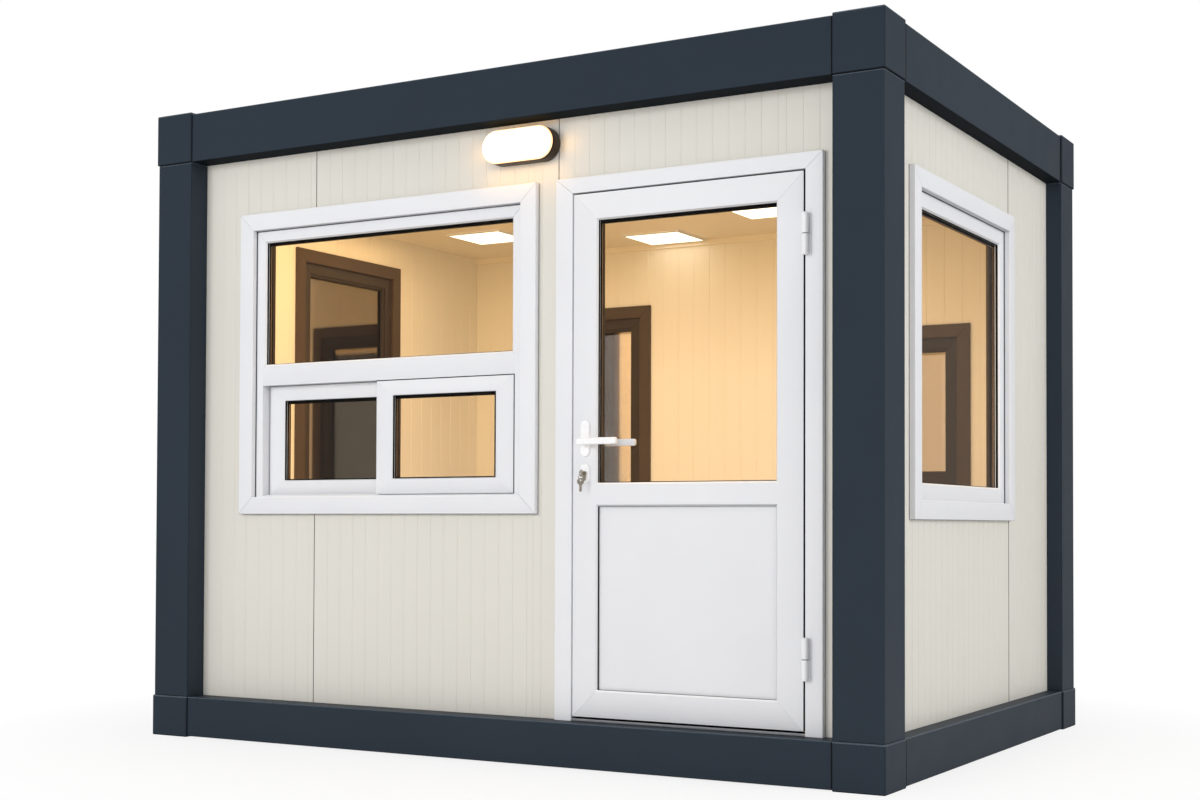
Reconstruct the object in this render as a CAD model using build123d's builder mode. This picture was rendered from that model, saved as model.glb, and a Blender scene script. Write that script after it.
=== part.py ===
from build123d import *
import os

# Security guard booth: a bolted steel frame with sandwich panel walls, a plastic
# door and plastic windows. Millimetres, +Z up, front face towards -Y. The origin
# is on the ground under the middle of the booth.

# Overall size, over the corner blocks
overall_width = 3240
overall_depth = 2375
overall_height = 2600

# Corner blocks
block_width = 188
block_depth = 198
bottom_block_height = 166
top_block_height = 208
block_proud = 5
block_edge = 3

# Beams and columns, folded from steel sheet
steel = 4
beam_gap = 4
column_gap = 3
bend_radius = 5
joint_inset = 3
top_beam_drop = 8
bottom_beam_lift = 4
drain_radius = 25

# Walls
wall_thickness = 60
front_recess = 102
side_recess = 73
panel_module = 1150
joint_beside_door = 1
joint_gap = 2
side_joint = 1610

# Floor and roof
deck_thickness = 22
joist_width = 50
floor_joist_count = 5
ceiling_drop = 107
ceiling_thickness = 50
trim_height = 28
trim_depth = 12
light_size = 300
light_drop = 9
light_corner = 6
light_pitch = 738
light_middle_x = -275
light_middle_y = 850
light_side_y = 430
roof_joist_count = 4
roof_joist_height = 60
roof_rib_height = 25
roof_rib_width = 40
roof_rib_pitch = 250
roof_rib_slope = 60
roof_skin = 3

# Casings and window frames
seat_gap = 0.3
casing_width = 70
casing_lap = 35
casing_thickness = 25
casing_edge = 3
frame_depth = 75
trim_thickness = 15
trim_inset = 10
bead_chamfer = 6
glass_setback = 16
pane = 4
pane_space = 12
spacer_width = 9
glass_lap = 12

# Along the front: the window and the door stand between the columns with these gaps
column_to_window = 207
window_to_door = 88
door_to_column = 64
head_drop = 232

# Front window
front_window_bottom = 923
upper_light_face = 50
lower_light_face = 36
sill_rise = 5
transom_bottom = 1451
transom_top = 1538

# Sliding sashes
sash_overlap = 67
sash_stile = 84
sash_rail = 62
sash_depth = 32
sash_side_gap = 5
track_gap = 6
outer_sash_setback = 2
rail_height = 4
rail_width = 8
head_gap = 2

# Single windows in the other walls
side_window_start = 425
side_window_length = 1200
side_window_bottom = 905
side_head_drop = 237
left_window_start = 730
left_window_length = 803
small_window_from_joint = 25
small_window_width = 875
small_window_bottom = 1000
small_window_top = 1810
back_window_before_joint = 397
back_window_width = 812
back_head_drop = 402
single_light_face = 62

# Door: the leaf, and how far the casing stands out round it
leaf_width = 913
lock_side_margin = 78
hinge_side_margin = 71
head_margin = 64
leaf_rise = 17
leaf_thickness = 60
leaf_stile = 102
leaf_rail = 100
middle_rail_bottom = 950
middle_rail_top = 1036
door_clearance = 6
stop_depth = 19
stop_lap = 14
threshold_height = 10

# Hinges
hinge_from_leaf = 13
knuckle_chamfer = 1.5
knuckle_radius = 12
knuckle_height = 73
knuckle_gap = 0.6
knuckle_stand_off = 3
pin_radius = 6
pin_clearance = 0.4
pin_length = 60
wing_start = 8
wing_end = 28
wing_thickness = 12
upper_hinge_drop = 292
lower_hinge_rise = 172

# Handle and lock
handle_from_edge = 53
handle_height = 1186
plate_width = 38
plate_height = 134
plate_thickness = 8
plate_rise = 13
plate_edge = 2.5
neck_radius = 9
neck_clearance = 0.4
spindle_radius = 5
spindle_hole_radius = 8
lever_length = 166
lever_height = 25
lever_thickness = 14
lever_corner = 8
lever_edge = 3
lever_stand_off = 36
lever_hub_overhang = 13
lock_drop = 116
rose_width = 40
rose_height = 72
cylinder_radius = 8.5
cylinder_tail_width = 10
cylinder_tail = 22
cylinder_reach = 5
key_blade_width = 9
key_thickness = 2.2
key_bow_radius = 13
key_hole_radius = 4
key_hole_offset = 5
ring_hole_drop = 2.5
key_neck = 6.5
key_shoulder = 5
key_length = 30
key_ring_radius = 9
key_ring_wire = 0.8
ring_slack = 0.6
hanging_slack = 1.2

# Wall lamp
lamp_from_door = 149
lamp_drop = 92
lamp_width = 312
lamp_size = 128
lamp_depth = 58
lamp_rim = 6
lamp_edge = 3
diffuser_proud = 17
diffuser_edge = 11

# Places worked out from the sizes above
half_width = overall_width / 2
half_depth = overall_depth / 2
face_x = half_width - block_proud
face_y = half_depth - block_proud
wall_x = half_width - side_recess
wall_y = half_depth - front_recess
room_x = wall_x - wall_thickness
room_y = wall_y - wall_thickness
wall_bottom = bottom_block_height
wall_top = overall_height - top_block_height
top_beam_height = top_block_height - top_beam_drop
bottom_beam_height = bottom_block_height - bottom_beam_lift
long_beam_depth = face_y - room_y
short_beam_depth = face_x - room_x
long_beam_length = overall_width - 2 * block_width - 2 * beam_gap
short_beam_length = overall_depth - 2 * block_depth - 2 * beam_gap
unit_thickness = 2 * pane + pane_space
ceiling_height = wall_top - ceiling_drop

# Places along the front, measured from the left end
door_casing_right = overall_width - block_width - door_to_column
leaf_right = door_casing_right - hinge_side_margin
leaf_left = leaf_right - leaf_width
door_casing_left = leaf_left - lock_side_margin
front_window_left = block_width + column_to_window
front_window_right = door_casing_left - window_to_door
second_joint = door_casing_left - joint_beside_door
first_joint = second_joint - panel_module
lamp_centre = door_casing_left - lamp_from_door
small_window_left = second_joint + small_window_from_joint
back_window_left = first_joint - back_window_before_joint

# Heights from the ground
casing_head = wall_top - head_drop
leaf_bottom = wall_bottom + leaf_rise
leaf_top = casing_head - head_margin
side_window_top = wall_top - side_head_drop
back_window_top = wall_top - back_head_drop
lamp_height = wall_top - lamp_drop
lock_height = handle_height - lock_drop
plate_centre_height = handle_height + plate_rise


def from_left(distance):
    """X of a place measured from the left end of the booth."""
    return distance - half_width


def from_front(distance):
    """Y of a place measured from the front of the booth."""
    return distance - half_depth


# Each wall has a plane on its outer face: local x runs along the wall, local y
# is the height, and the plane's normal points out of the booth.
front_plane = Plane(origin=(0, -wall_y, 0), x_dir=(1, 0, 0), z_dir=(0, -1, 0))
back_plane = Plane(origin=(0, wall_y, 0), x_dir=(-1, 0, 0), z_dir=(0, 1, 0))
right_plane = Plane(origin=(wall_x, 0, 0), x_dir=(0, 1, 0), z_dir=(1, 0, 0))
left_plane = Plane(origin=(-wall_x, 0, 0), x_dir=(0, -1, 0), z_dir=(-1, 0, 0))

os.makedirs("parts", exist_ok=True)


def save(part, label):
    """Label a finished piece and write it."""
    part.label = label
    export_step(part, f"parts/{label}.step")


def rectangle(left, right, bottom, top):
    """Add a rectangle between four edges to the sketch that is open."""
    with Locations(((left + right) / 2, (bottom + top) / 2)):
        Rectangle(right - left, top - bottom)


def cut_rectangle(left, right, bottom, top):
    """Cut a rectangle between four edges from the sketch that is open."""
    with Locations(((left + right) / 2, (bottom + top) / 2)):
        Rectangle(right - left, top - bottom, mode=Mode.SUBTRACT)


def joined(parts):
    """One part from several separate solids."""
    with BuildPart() as whole:
        add(parts)
    return whole.part


def inset(box, amount):
    """Edges of a box (left, right, bottom, top) moved in on every side."""
    left, right, bottom, top = box
    return left + amount, right - amount, bottom + amount, top - amount


# Frame: beams

def channel_beam(plane, length, depth, height):
    """Folded channel with its web outwards and an end plate at each end.

    The plane's origin is at the middle of the web's lower outer edge, local x
    points into the booth and local y up.
    """
    with BuildPart() as beam:
        with BuildSketch(plane):
            with BuildLine():
                Polyline(
                    (0, 0), (depth, 0), (depth, steel), (steel, steel),
                    (steel, height - steel), (depth, height - steel), (depth, height), (0, height),
                    close=True,
                )
            make_face()
        extrude(amount=length / 2, both=True)
        long_edges = beam.edges().filter_by(Axis(plane.origin, plane.z_dir))
        web_corners = long_edges.group_by(Axis(plane.origin, plane.x_dir))[0]
        fillet(web_corners, radius=bend_radius - steel / 2)
        for side in (-1, 1):
            start = side * (length / 2 - steel)
            with BuildSketch(plane.offset(start)):
                rectangle(joint_inset, depth, joint_inset, height - joint_inset)
            extrude(amount=side * (steel + beam_gap))
    return beam.part


def beam_planes(bottom):
    """Planes for the front, back, right and left beams, with their lower edge at a height."""
    front = Plane(origin=(0, -face_y, bottom), x_dir=(0, 1, 0), z_dir=(1, 0, 0))
    back = Plane(origin=(0, face_y, bottom), x_dir=(0, -1, 0), z_dir=(-1, 0, 0))
    right = Plane(origin=(face_x, 0, bottom), x_dir=(-1, 0, 0), z_dir=(0, 1, 0))
    left = Plane(origin=(-face_x, 0, bottom), x_dir=(1, 0, 0), z_dir=(0, -1, 0))
    return {"front": front, "back": back, "right": right, "left": left}


for level, bottom, height in (
    ("bottom", bottom_beam_lift, bottom_beam_height),
    ("top", wall_top, top_beam_height),
):
    planes = beam_planes(bottom)
    for direction, sides, length, depth in (
        ("long", ("front", "back"), long_beam_length, long_beam_depth),
        ("short", ("left", "right"), short_beam_length, short_beam_depth),
    ):
        beams = [channel_beam(planes[side], length, depth, height) for side in sides]
        save(joined(beams), f"{level}_beams_{direction}")


# Frame: columns

def column_outline(reach):
    """Draw the column's L in the open sketch, drawn in from its skin by a distance."""
    front_leg = front_recess - block_proud
    side_leg = side_recess - block_proud
    width = block_width - block_proud
    depth = block_depth - block_proud
    Polygon(
        (reach, reach), (width - reach, reach), (width - reach, front_leg - reach),
        (side_leg - reach, front_leg - reach), (side_leg - reach, depth - reach),
        (reach, depth - reach),
        align=None,
    )


column_corner = Plane(origin=(-face_x, -face_y, bottom_block_height))
column_length = wall_top - bottom_block_height

with BuildPart() as column_front_left:
    with BuildSketch(column_corner):
        column_outline(0)
    extrude(amount=column_length - column_gap)
    upright_edges = column_front_left.edges().filter_by(Axis.Z)
    corner_edge = upright_edges.sort_by_distance((-face_x, -face_y, overall_height / 2))[0]
    fillet(corner_edge, radius=bend_radius)
    with BuildSketch(column_corner):
        column_outline(steel)
    extrude(amount=column_length, mode=Mode.SUBTRACT)
    for plate_height_up, thickness in ((0, steel), (column_length - column_gap - steel, steel + column_gap)):
        with BuildSketch(column_corner.offset(plate_height_up)):
            column_outline(joint_inset)
            with Locations(((side_recess - block_proud) / 2, (front_recess - block_proud) / 2)):
                Circle(drain_radius, mode=Mode.SUBTRACT)
        extrude(amount=thickness)

with BuildPart() as columns:
    add(column_front_left.part)
    mirror(about=Plane.YZ)
    mirror(about=Plane.XZ)
save(columns.part, "columns")


# Frame: corner blocks

def corner_blocks(bottom, height):
    """Four blocks with broken edges, one under or over each column."""
    spacing_x = overall_width - block_width
    spacing_y = overall_depth - block_depth
    with BuildPart() as blocks:
        with BuildSketch(Plane.XY.offset(bottom)):
            with GridLocations(spacing_x, spacing_y, 2, 2):
                Rectangle(block_width, block_depth)
        extrude(amount=height)
        chamfer(blocks.edges(), length=block_edge)
    return blocks.part


save(corner_blocks(0, bottom_block_height), "bottom_corner_blocks")
save(corner_blocks(wall_top, top_block_height), "top_corner_blocks")

# Floor
floor_top = bottom_block_height
joist_top = floor_top - deck_thickness
joist_bottom = bottom_beam_lift + steel
floor_joist_pitch = (2 * room_x - joist_width) / (floor_joist_count + 1)

with BuildPart() as floor_joists:
    with BuildSketch(Plane.XY.offset(joist_bottom)):
        with GridLocations(floor_joist_pitch, 0, floor_joist_count, 1):
            Rectangle(joist_width, 2 * (face_y - steel))
    extrude(amount=joist_top - joist_bottom)
save(floor_joists.part, "floor_joists")


def sheet_between_blocks():
    """Rectangle between the walls' inner faces, cut back at the corner blocks."""
    Rectangle(2 * room_x, 2 * room_y)
    with GridLocations(overall_width - block_width, overall_depth - block_depth, 2, 2):
        Rectangle(block_width + 2 * seat_gap, block_depth + 2 * seat_gap, mode=Mode.SUBTRACT)


with BuildPart() as floor_deck:
    with BuildSketch(Plane.XY.offset(joist_top)):
        sheet_between_blocks()
    extrude(amount=deck_thickness)
save(floor_deck.part, "floor_deck")

# Ceiling
with BuildPart() as ceiling_panel:
    with BuildSketch(Plane.XY.offset(ceiling_height)):
        Rectangle(2 * room_x, 2 * room_y)
    extrude(amount=ceiling_thickness)
save(ceiling_panel.part, "ceiling_panel")

with BuildPart() as ceiling_trims:
    with BuildSketch(Plane.XY.offset(ceiling_height - trim_height)):
        with GridLocations(0, 2 * room_y - trim_depth, 1, 2):
            Rectangle(2 * room_x, trim_depth)
    extrude(amount=trim_height)
save(ceiling_trims.part, "ceiling_trims")

with BuildPart() as ceiling_lights:
    with BuildSketch(Plane.XY.offset(ceiling_height - light_drop)):
        with Locations(
            (light_middle_x - light_pitch, light_side_y),
            (light_middle_x, light_middle_y),
            (light_middle_x + light_pitch, light_side_y),
        ):
            RectangleRounded(light_size, light_size, light_corner)
    extrude(amount=light_drop)
save(ceiling_lights.part, "ceiling_lights")

# Roof
roof_joist_bottom = overall_height - top_beam_drop - steel - roof_joist_height - roof_skin - roof_rib_height
roof_joist_pitch = (2 * room_x - joist_width) / (roof_joist_count + 1)
roof_sheet_bottom = roof_joist_bottom + roof_joist_height

with BuildPart() as roof_joists:
    with BuildSketch(Plane.XZ):
        with Locations((0, roof_joist_bottom + roof_joist_height / 2)):
            with GridLocations(roof_joist_pitch, 0, roof_joist_count, 1):
                Rectangle(joist_width, roof_joist_height)
    extrude(amount=face_y - steel, both=True)
save(roof_joists.part, "roof_joists")

with BuildPart() as roof_sheet:
    with BuildSketch(Plane.XZ):
        with Locations((0, roof_sheet_bottom + roof_skin / 2)):
            Rectangle(2 * room_x, roof_skin)
        rib_count = int(2 * room_x // roof_rib_pitch)
        with Locations((0, roof_sheet_bottom + roof_skin)):
            with GridLocations(roof_rib_pitch, 0, rib_count, 1):
                Trapezoid(roof_rib_width, roof_rib_height, roof_rib_slope, align=(Align.CENTER, Align.MIN))
    extrude(amount=room_y, both=True)
    with BuildSketch(Plane.XY.offset(roof_sheet_bottom)):
        sheet_between_blocks()
    extrude(amount=roof_skin + roof_rib_height, mode=Mode.INTERSECT)
save(roof_sheet.part, "roof_sheet")


# Walls: each box is (left, right, bottom, top) on its wall's plane

def rough_opening(casing_box):
    """Opening in the wall behind a casing that laps over it."""
    return inset(casing_box, casing_lap)


def wall_panels(plane, boxes, opening=None):
    """Sandwich panels on a wall's plane, one for each box, with an opening cut through."""
    with BuildPart() as panels:
        with BuildSketch(plane):
            for box in boxes:
                rectangle(*box)
            if opening is not None:
                cut_rectangle(*opening)
        extrude(amount=-wall_thickness)
    return panels.part


front_casing_box = (
    from_left(front_window_left), from_left(front_window_right), front_window_bottom, casing_head,
)
side_casing_box = (
    from_front(side_window_start), from_front(side_window_start + side_window_length),
    side_window_bottom, side_window_top,
)
left_window_end = -from_front(left_window_start)
left_casing_box = (left_window_end - left_window_length, left_window_end, side_window_bottom, side_window_top)
small_window_end = -from_left(small_window_left)
small_casing_box = (
    small_window_end - small_window_width, small_window_end, small_window_bottom, small_window_top,
)
back_window_end = -from_left(back_window_left)
back_casing_box = (
    back_window_end - back_window_width, back_window_end, side_window_bottom, back_window_top,
)

half_joint = joint_gap / 2
joint_one = from_left(first_joint)
joint_two = from_left(second_joint)
door_opening_left = from_left(door_casing_left) + casing_lap
door_opening_right = from_left(door_casing_right) - casing_lap
door_opening_top = casing_head - casing_lap
side_joint_y = from_front(side_joint)

front_opening = rough_opening(front_casing_box)
left_box = (-wall_x, joint_one - half_joint, wall_bottom, wall_top)
middle_box = (joint_one + half_joint, joint_two - half_joint, wall_bottom, wall_top)
pier_box = (joint_two + half_joint, door_opening_left, wall_bottom, wall_top)
over_door_box = (door_opening_left, door_opening_right, door_opening_top, wall_top)
right_box = (door_opening_right, wall_x, wall_bottom, wall_top)
save(wall_panels(front_plane, [left_box], front_opening), "front_wall_left")
save(wall_panels(front_plane, [middle_box], front_opening), "front_wall_middle")
save(wall_panels(front_plane, [pier_box]), "front_wall_door_pier")
save(wall_panels(front_plane, [over_door_box]), "front_wall_over_door")
save(wall_panels(front_plane, [right_box]), "front_wall_right")

side_wall_boxes = [(-room_y, side_joint_y - half_joint, wall_bottom, wall_top)]
side_plain_boxes = [(side_joint_y + half_joint, room_y, wall_bottom, wall_top)]
left_wall_boxes = [(-right, -left, bottom, top) for left, right, bottom, top in side_wall_boxes]
right_window_panel = wall_panels(right_plane, side_wall_boxes, rough_opening(side_casing_box))
left_window_panel = wall_panels(left_plane, left_wall_boxes, rough_opening(left_casing_box))
right_plain_panel = wall_panels(right_plane, side_plain_boxes)
save(joined([right_window_panel, left_window_panel]), "side_wall_window_panels")

with BuildPart() as side_wall_plain_panels:
    add(right_plain_panel)
    mirror(about=Plane.YZ)
save(side_wall_plain_panels.part, "side_wall_plain_panels")

back_wide_boxes = [
    (-joint_one + half_joint, wall_x, wall_bottom, wall_top),
    (-joint_two + half_joint, -joint_one - half_joint, wall_bottom, wall_top),
]
small_window_boxes = [(-wall_x, -joint_two - half_joint, wall_bottom, wall_top)]
save(wall_panels(back_plane, back_wide_boxes, rough_opening(back_casing_box)), "back_wall_plain_panels")
save(wall_panels(back_plane, small_window_boxes, rough_opening(small_casing_box)), "back_wall_window_panel")


# Windows: the shared pieces

def casing(plane, casing_box):
    """Flat trim round a window, lapped over the edge of the wall's opening."""
    with BuildPart() as trim:
        with BuildSketch(plane):
            rectangle(*casing_box)
            cut_rectangle(*inset(casing_box, casing_width))
        extrude(amount=casing_thickness)
        chamfer(trim.faces().sort_by(Axis(plane.origin, plane.z_dir))[-1].edges(), length=casing_edge)
    return trim.part


def glazed_frame(plane, outer_box, lights, back, front, unit_front, unit_depth):
    """Frame with a chamfered light for each box and a groove round it that holds the glass."""
    with BuildPart() as profile:
        with BuildSketch(plane.offset(back)):
            rectangle(*outer_box)
            for light in lights:
                cut_rectangle(*light)
        extrude(amount=front - back)
        outward = Axis(plane.origin, plane.z_dir)
        for face in (profile.faces().sort_by(outward)[-1], profile.faces().sort_by(outward)[0]):
            for wire in face.inner_wires():
                chamfer(wire.edges(), length=bead_chamfer)
        with BuildSketch(plane.offset(unit_front + seat_gap)):
            for light in lights:
                rectangle(*inset(light, -glass_lap - seat_gap))
        extrude(amount=-unit_depth - 2 * seat_gap, mode=Mode.SUBTRACT)
    return profile.part


def glass_panes(plane, light, unit_front):
    """Two panes for a light, held in the frame's groove."""
    with BuildPart() as panes:
        for pane_front in (unit_front, unit_front - pane - pane_space):
            with BuildSketch(plane.offset(pane_front)):
                rectangle(*inset(light, -glass_lap))
            extrude(amount=-pane)
    return panes.part


def glass_spacers(plane, light, unit_front):
    """Spacer bar between the panes, just showing inside a light."""
    with BuildPart() as spacers:
        with BuildSketch(plane.offset(unit_front - pane)):
            rectangle(*inset(light, -glass_lap))
            cut_rectangle(*inset(light, spacer_width - glass_lap))
        extrude(amount=-pane_space)
    return spacers.part


# Front window: a fixed light over two sashes that slide past each other
save(casing(front_plane, front_casing_box), "front_window_casing")

casing_inner = inset(front_casing_box, casing_width)
upper_light = (
    casing_inner[0] + upper_light_face, casing_inner[1] - upper_light_face,
    transom_top, casing_inner[3] - upper_light_face,
)
lower_light = (
    casing_inner[0] + lower_light_face, casing_inner[1] - lower_light_face,
    casing_inner[2] + sill_rise, transom_bottom,
)
outer_sash_face = -outer_sash_setback
inner_sash_face = outer_sash_face - sash_depth - track_gap

fixed_light_frame = glazed_frame(
    front_plane, inset(front_opening, seat_gap), [upper_light],
    -frame_depth, 0, -glass_setback, unit_thickness,
)

with BuildPart() as front_window_frame:
    add(fixed_light_frame)
    with BuildSketch(front_plane):
        rectangle(*lower_light)
    extrude(amount=-frame_depth, mode=Mode.SUBTRACT)
    for sash_face in (outer_sash_face, inner_sash_face):
        rail_front = sash_face - (sash_depth - rail_width) / 2
        with BuildSketch(front_plane.offset(rail_front)):
            rectangle(lower_light[0], lower_light[1], lower_light[2], lower_light[2] + rail_height)
        extrude(amount=-rail_width)
save(front_window_frame.part, "front_window_frame")

track_length = lower_light[1] - lower_light[0] - 2 * sash_side_gap
sash_width = (track_length + sash_overlap) / 2
sash_bottom = lower_light[2] + rail_height
sash_top = lower_light[3] - head_gap
outer_sash_right = lower_light[1] - sash_side_gap
inner_sash_left = lower_light[0] + sash_side_gap
outer_sash_box = (outer_sash_right - sash_width, outer_sash_right, sash_bottom, sash_top)
inner_sash_box = (inner_sash_left, inner_sash_left + sash_width, sash_bottom, sash_top)
sash_glass_setback = (sash_depth - unit_thickness) / 2


def sash_light(sash_box):
    """Glass opening of a sash."""
    left, right, bottom, top = sash_box
    return left + sash_stile, right - sash_stile, bottom + sash_rail, top - sash_rail


def sash(sash_box, face):
    """Sash with its face at a depth behind the wall's outer face."""
    return glazed_frame(
        front_plane, sash_box, [sash_light(sash_box)],
        face - sash_depth, face, face - sash_glass_setback, unit_thickness,
    )


save(sash(outer_sash_box, outer_sash_face), "sliding_sash_outer")
save(sash(inner_sash_box, inner_sash_face), "sliding_sash_inner")

front_glazing = (
    (front_plane, upper_light, -glass_setback),
    (front_plane, sash_light(outer_sash_box), outer_sash_face - sash_glass_setback),
    (front_plane, sash_light(inner_sash_box), inner_sash_face - sash_glass_setback),
)
save(joined([glass_panes(*glazing) for glazing in front_glazing]), "front_window_glass")

# Single windows: one in each side wall and two in the back wall
single_windows = (
    (right_plane, side_casing_box),
    (left_plane, left_casing_box),
    (back_plane, small_casing_box),
    (back_plane, back_casing_box),
)


def single_light(casing_box):
    """Glass opening of a single window."""
    return inset(casing_box, casing_width + single_light_face)


single_frames = [
    glazed_frame(
        plane, inset(rough_opening(casing_box), seat_gap), [single_light(casing_box)],
        -wall_thickness, 0, -glass_setback, unit_thickness,
    )
    for plane, casing_box in single_windows
]
single_glazing = [(plane, single_light(casing_box), -glass_setback) for plane, casing_box in single_windows]
save(joined([casing(plane, casing_box) for plane, casing_box in single_windows]), "single_window_casings")
save(joined(single_frames), "single_window_frames")
save(joined([glass_panes(*glazing) for glazing in single_glazing]), "single_window_glass")
save(joined([glass_spacers(*glazing) for glazing in (*front_glazing, *single_glazing)]), "window_spacers")

# Dark trims on the room side of the single windows
with BuildPart() as dark_window_trims:
    for plane, casing_box in single_windows:
        with BuildSketch(plane.offset(-wall_thickness)):
            rectangle(*inset(casing_box, trim_inset))
            cut_rectangle(*inset(casing_box, casing_width))
        extrude(amount=-trim_thickness)
save(dark_window_trims.part, "dark_window_trims")

# Door frame
leaf_box = (from_left(leaf_left), from_left(leaf_right), leaf_bottom, leaf_top)
way_left = leaf_box[0] - door_clearance
way_right = leaf_box[1] + door_clearance
way_top = leaf_box[3] + door_clearance

with BuildPart() as door_casing:
    with BuildSketch(front_plane):
        rectangle(from_left(door_casing_left), from_left(door_casing_right), wall_bottom, casing_head)
        cut_rectangle(way_left, way_right, wall_bottom, way_top)
    extrude(amount=casing_thickness)
save(door_casing.part, "door_casing")

with BuildPart() as door_frame:
    with BuildSketch(front_plane.offset(-wall_thickness)):
        rectangle(
            door_opening_left + seat_gap, door_opening_right - seat_gap,
            wall_bottom, door_opening_top - seat_gap,
        )
        cut_rectangle(way_left, way_right, wall_bottom, way_top)
    extrude(amount=wall_thickness)
    with BuildSketch(front_plane.offset(-wall_thickness)):
        rectangle(way_left, way_right, wall_bottom, way_top)
        cut_rectangle(way_left + stop_lap, way_right - stop_lap, wall_bottom, way_top - stop_lap)
    extrude(amount=stop_depth)
save(door_frame.part, "door_frame")

with BuildPart() as threshold:
    with BuildSketch(front_plane.offset(-wall_thickness)):
        rectangle(way_left + stop_lap, way_right - stop_lap, wall_bottom, wall_bottom + threshold_height)
    extrude(amount=stop_depth)
    with BuildSketch(front_plane.offset(stop_depth - wall_thickness)):
        rectangle(way_left, way_right, wall_bottom, wall_bottom + threshold_height)
    extrude(amount=wall_thickness - stop_depth + casing_thickness)
save(threshold.part, "threshold")

# Door leaf
leaf_face = casing_thickness
leaf_back = leaf_face - leaf_thickness
light_left = leaf_box[0] + leaf_stile
light_right = leaf_box[1] - leaf_stile
door_light = (light_left, light_right, middle_rail_top, leaf_box[3] - leaf_rail)
door_panel = (light_left, light_right, leaf_box[2] + leaf_rail, middle_rail_bottom)
door_unit_front = leaf_face - glass_setback
handle_x = leaf_box[0] + handle_from_edge


def lock_outline(clearance):
    """Draw the lock cylinder's section: a round with a narrower tail below it."""
    with Locations((handle_x, lock_height)):
        Circle(cylinder_radius + clearance)
    with Locations((handle_x, lock_height - cylinder_tail / 2)):
        Rectangle(cylinder_tail_width + 2 * clearance, cylinder_tail)
    with Locations((handle_x, lock_height - cylinder_tail)):
        Circle(cylinder_tail_width / 2 + clearance)


glazed_leaf = glazed_frame(
    front_plane, leaf_box, [door_light, door_panel],
    leaf_back, leaf_face, door_unit_front, unit_thickness,
)

with BuildPart() as door_leaf:
    add(glazed_leaf)
    with BuildSketch(front_plane.offset(leaf_back)):
        with Locations((handle_x, handle_height)):
            Circle(spindle_hole_radius)
        lock_outline(seat_gap)
    extrude(amount=leaf_thickness, mode=Mode.SUBTRACT)
save(door_leaf.part, "door_leaf")

save(glass_panes(front_plane, door_light, door_unit_front), "door_glass")
save(glass_spacers(front_plane, door_light, door_unit_front), "door_glass_spacer")

with BuildPart() as door_lower_panel:
    with BuildSketch(front_plane.offset(door_unit_front)):
        rectangle(*inset(door_panel, -glass_lap))
    extrude(amount=-unit_thickness)
save(door_lower_panel.part, "door_lower_panel")

# Hinges: the lower knuckle and its pin stand on the door frame, the upper one is on the leaf
hinge_x = leaf_box[1] + hinge_from_leaf
hinge_y = -(wall_y + casing_thickness + knuckle_stand_off + knuckle_radius)
wing_reach = knuckle_radius + knuckle_stand_off


def knuckle(bottom, side, bored):
    """Hinge barrel with its wing on one side, standing on a height."""
    with BuildPart() as barrel:
        with BuildSketch(Plane((hinge_x, hinge_y, bottom))):
            Circle(knuckle_radius)
        extrude(amount=knuckle_height)
        chamfer(barrel.edges().filter_by(GeomType.CIRCLE), length=knuckle_chamfer)
        with BuildSketch(Plane((hinge_x, hinge_y, bottom + knuckle_chamfer))):
            near = side * wing_start
            far = side * wing_end
            with Locations(((near + far) / 2, wing_reach - wing_thickness / 2)):
                Rectangle(abs(far - near), wing_thickness)
        extrude(amount=knuckle_height - 2 * knuckle_chamfer)
        if bored:
            with BuildSketch(Plane((hinge_x, hinge_y, bottom))):
                Circle(pin_radius + pin_clearance)
            extrude(amount=pin_length + pin_clearance, mode=Mode.SUBTRACT)
        else:
            with BuildSketch(Plane((hinge_x, hinge_y, bottom + knuckle_height))):
                Circle(pin_radius)
            extrude(amount=pin_length)
    return barrel.part


hinge_heights = (leaf_bottom + lower_hinge_rise, leaf_top - upper_hinge_drop)
upper_knuckle_rise = knuckle_height + knuckle_gap
lower_knuckles = [knuckle(height, 1, bored=False) for height in hinge_heights]
upper_knuckles = [knuckle(height + upper_knuckle_rise, -1, bored=True) for height in hinge_heights]
save(joined(lower_knuckles), "hinge_lower_knuckles")
save(joined(upper_knuckles), "hinge_upper_knuckles")

# Handle and lock: a plate and an oval rose on each face of the leaf
with BuildPart() as handle_plates:
    for face, outward in ((leaf_face, 1), (leaf_back, -1)):
        with BuildSketch(front_plane.offset(face)):
            with Locations((handle_x, plate_centre_height)):
                SlotOverall(plate_height, plate_width, rotation=90)
            with Locations((handle_x, handle_height)):
                Circle(neck_radius + neck_clearance, mode=Mode.SUBTRACT)
        extrude(amount=outward * plate_thickness)
        with BuildSketch(front_plane.offset(face)):
            with Locations((handle_x, lock_height)):
                SlotOverall(rose_height, rose_width, rotation=90)
        extrude(amount=outward * plate_thickness)
        with BuildSketch(front_plane.offset(face)):
            lock_outline(seat_gap)
        extrude(amount=outward * plate_thickness, mode=Mode.SUBTRACT)
    plate_faces = handle_plates.faces().group_by(Axis.Y)
    rims = [edge for face in plate_faces[0] + plate_faces[-1] for edge in face.outer_wire().edges()]
    chamfer(rims, length=plate_edge)
save(handle_plates.part, "handle_plates")

with BuildPart() as lock_cylinder:
    cylinder_end = plate_thickness + cylinder_reach
    with BuildSketch(front_plane.offset(leaf_back - cylinder_end)):
        lock_outline(0)
    extrude(amount=leaf_thickness + 2 * cylinder_end)
save(lock_cylinder.part, "lock_cylinder")

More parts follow.
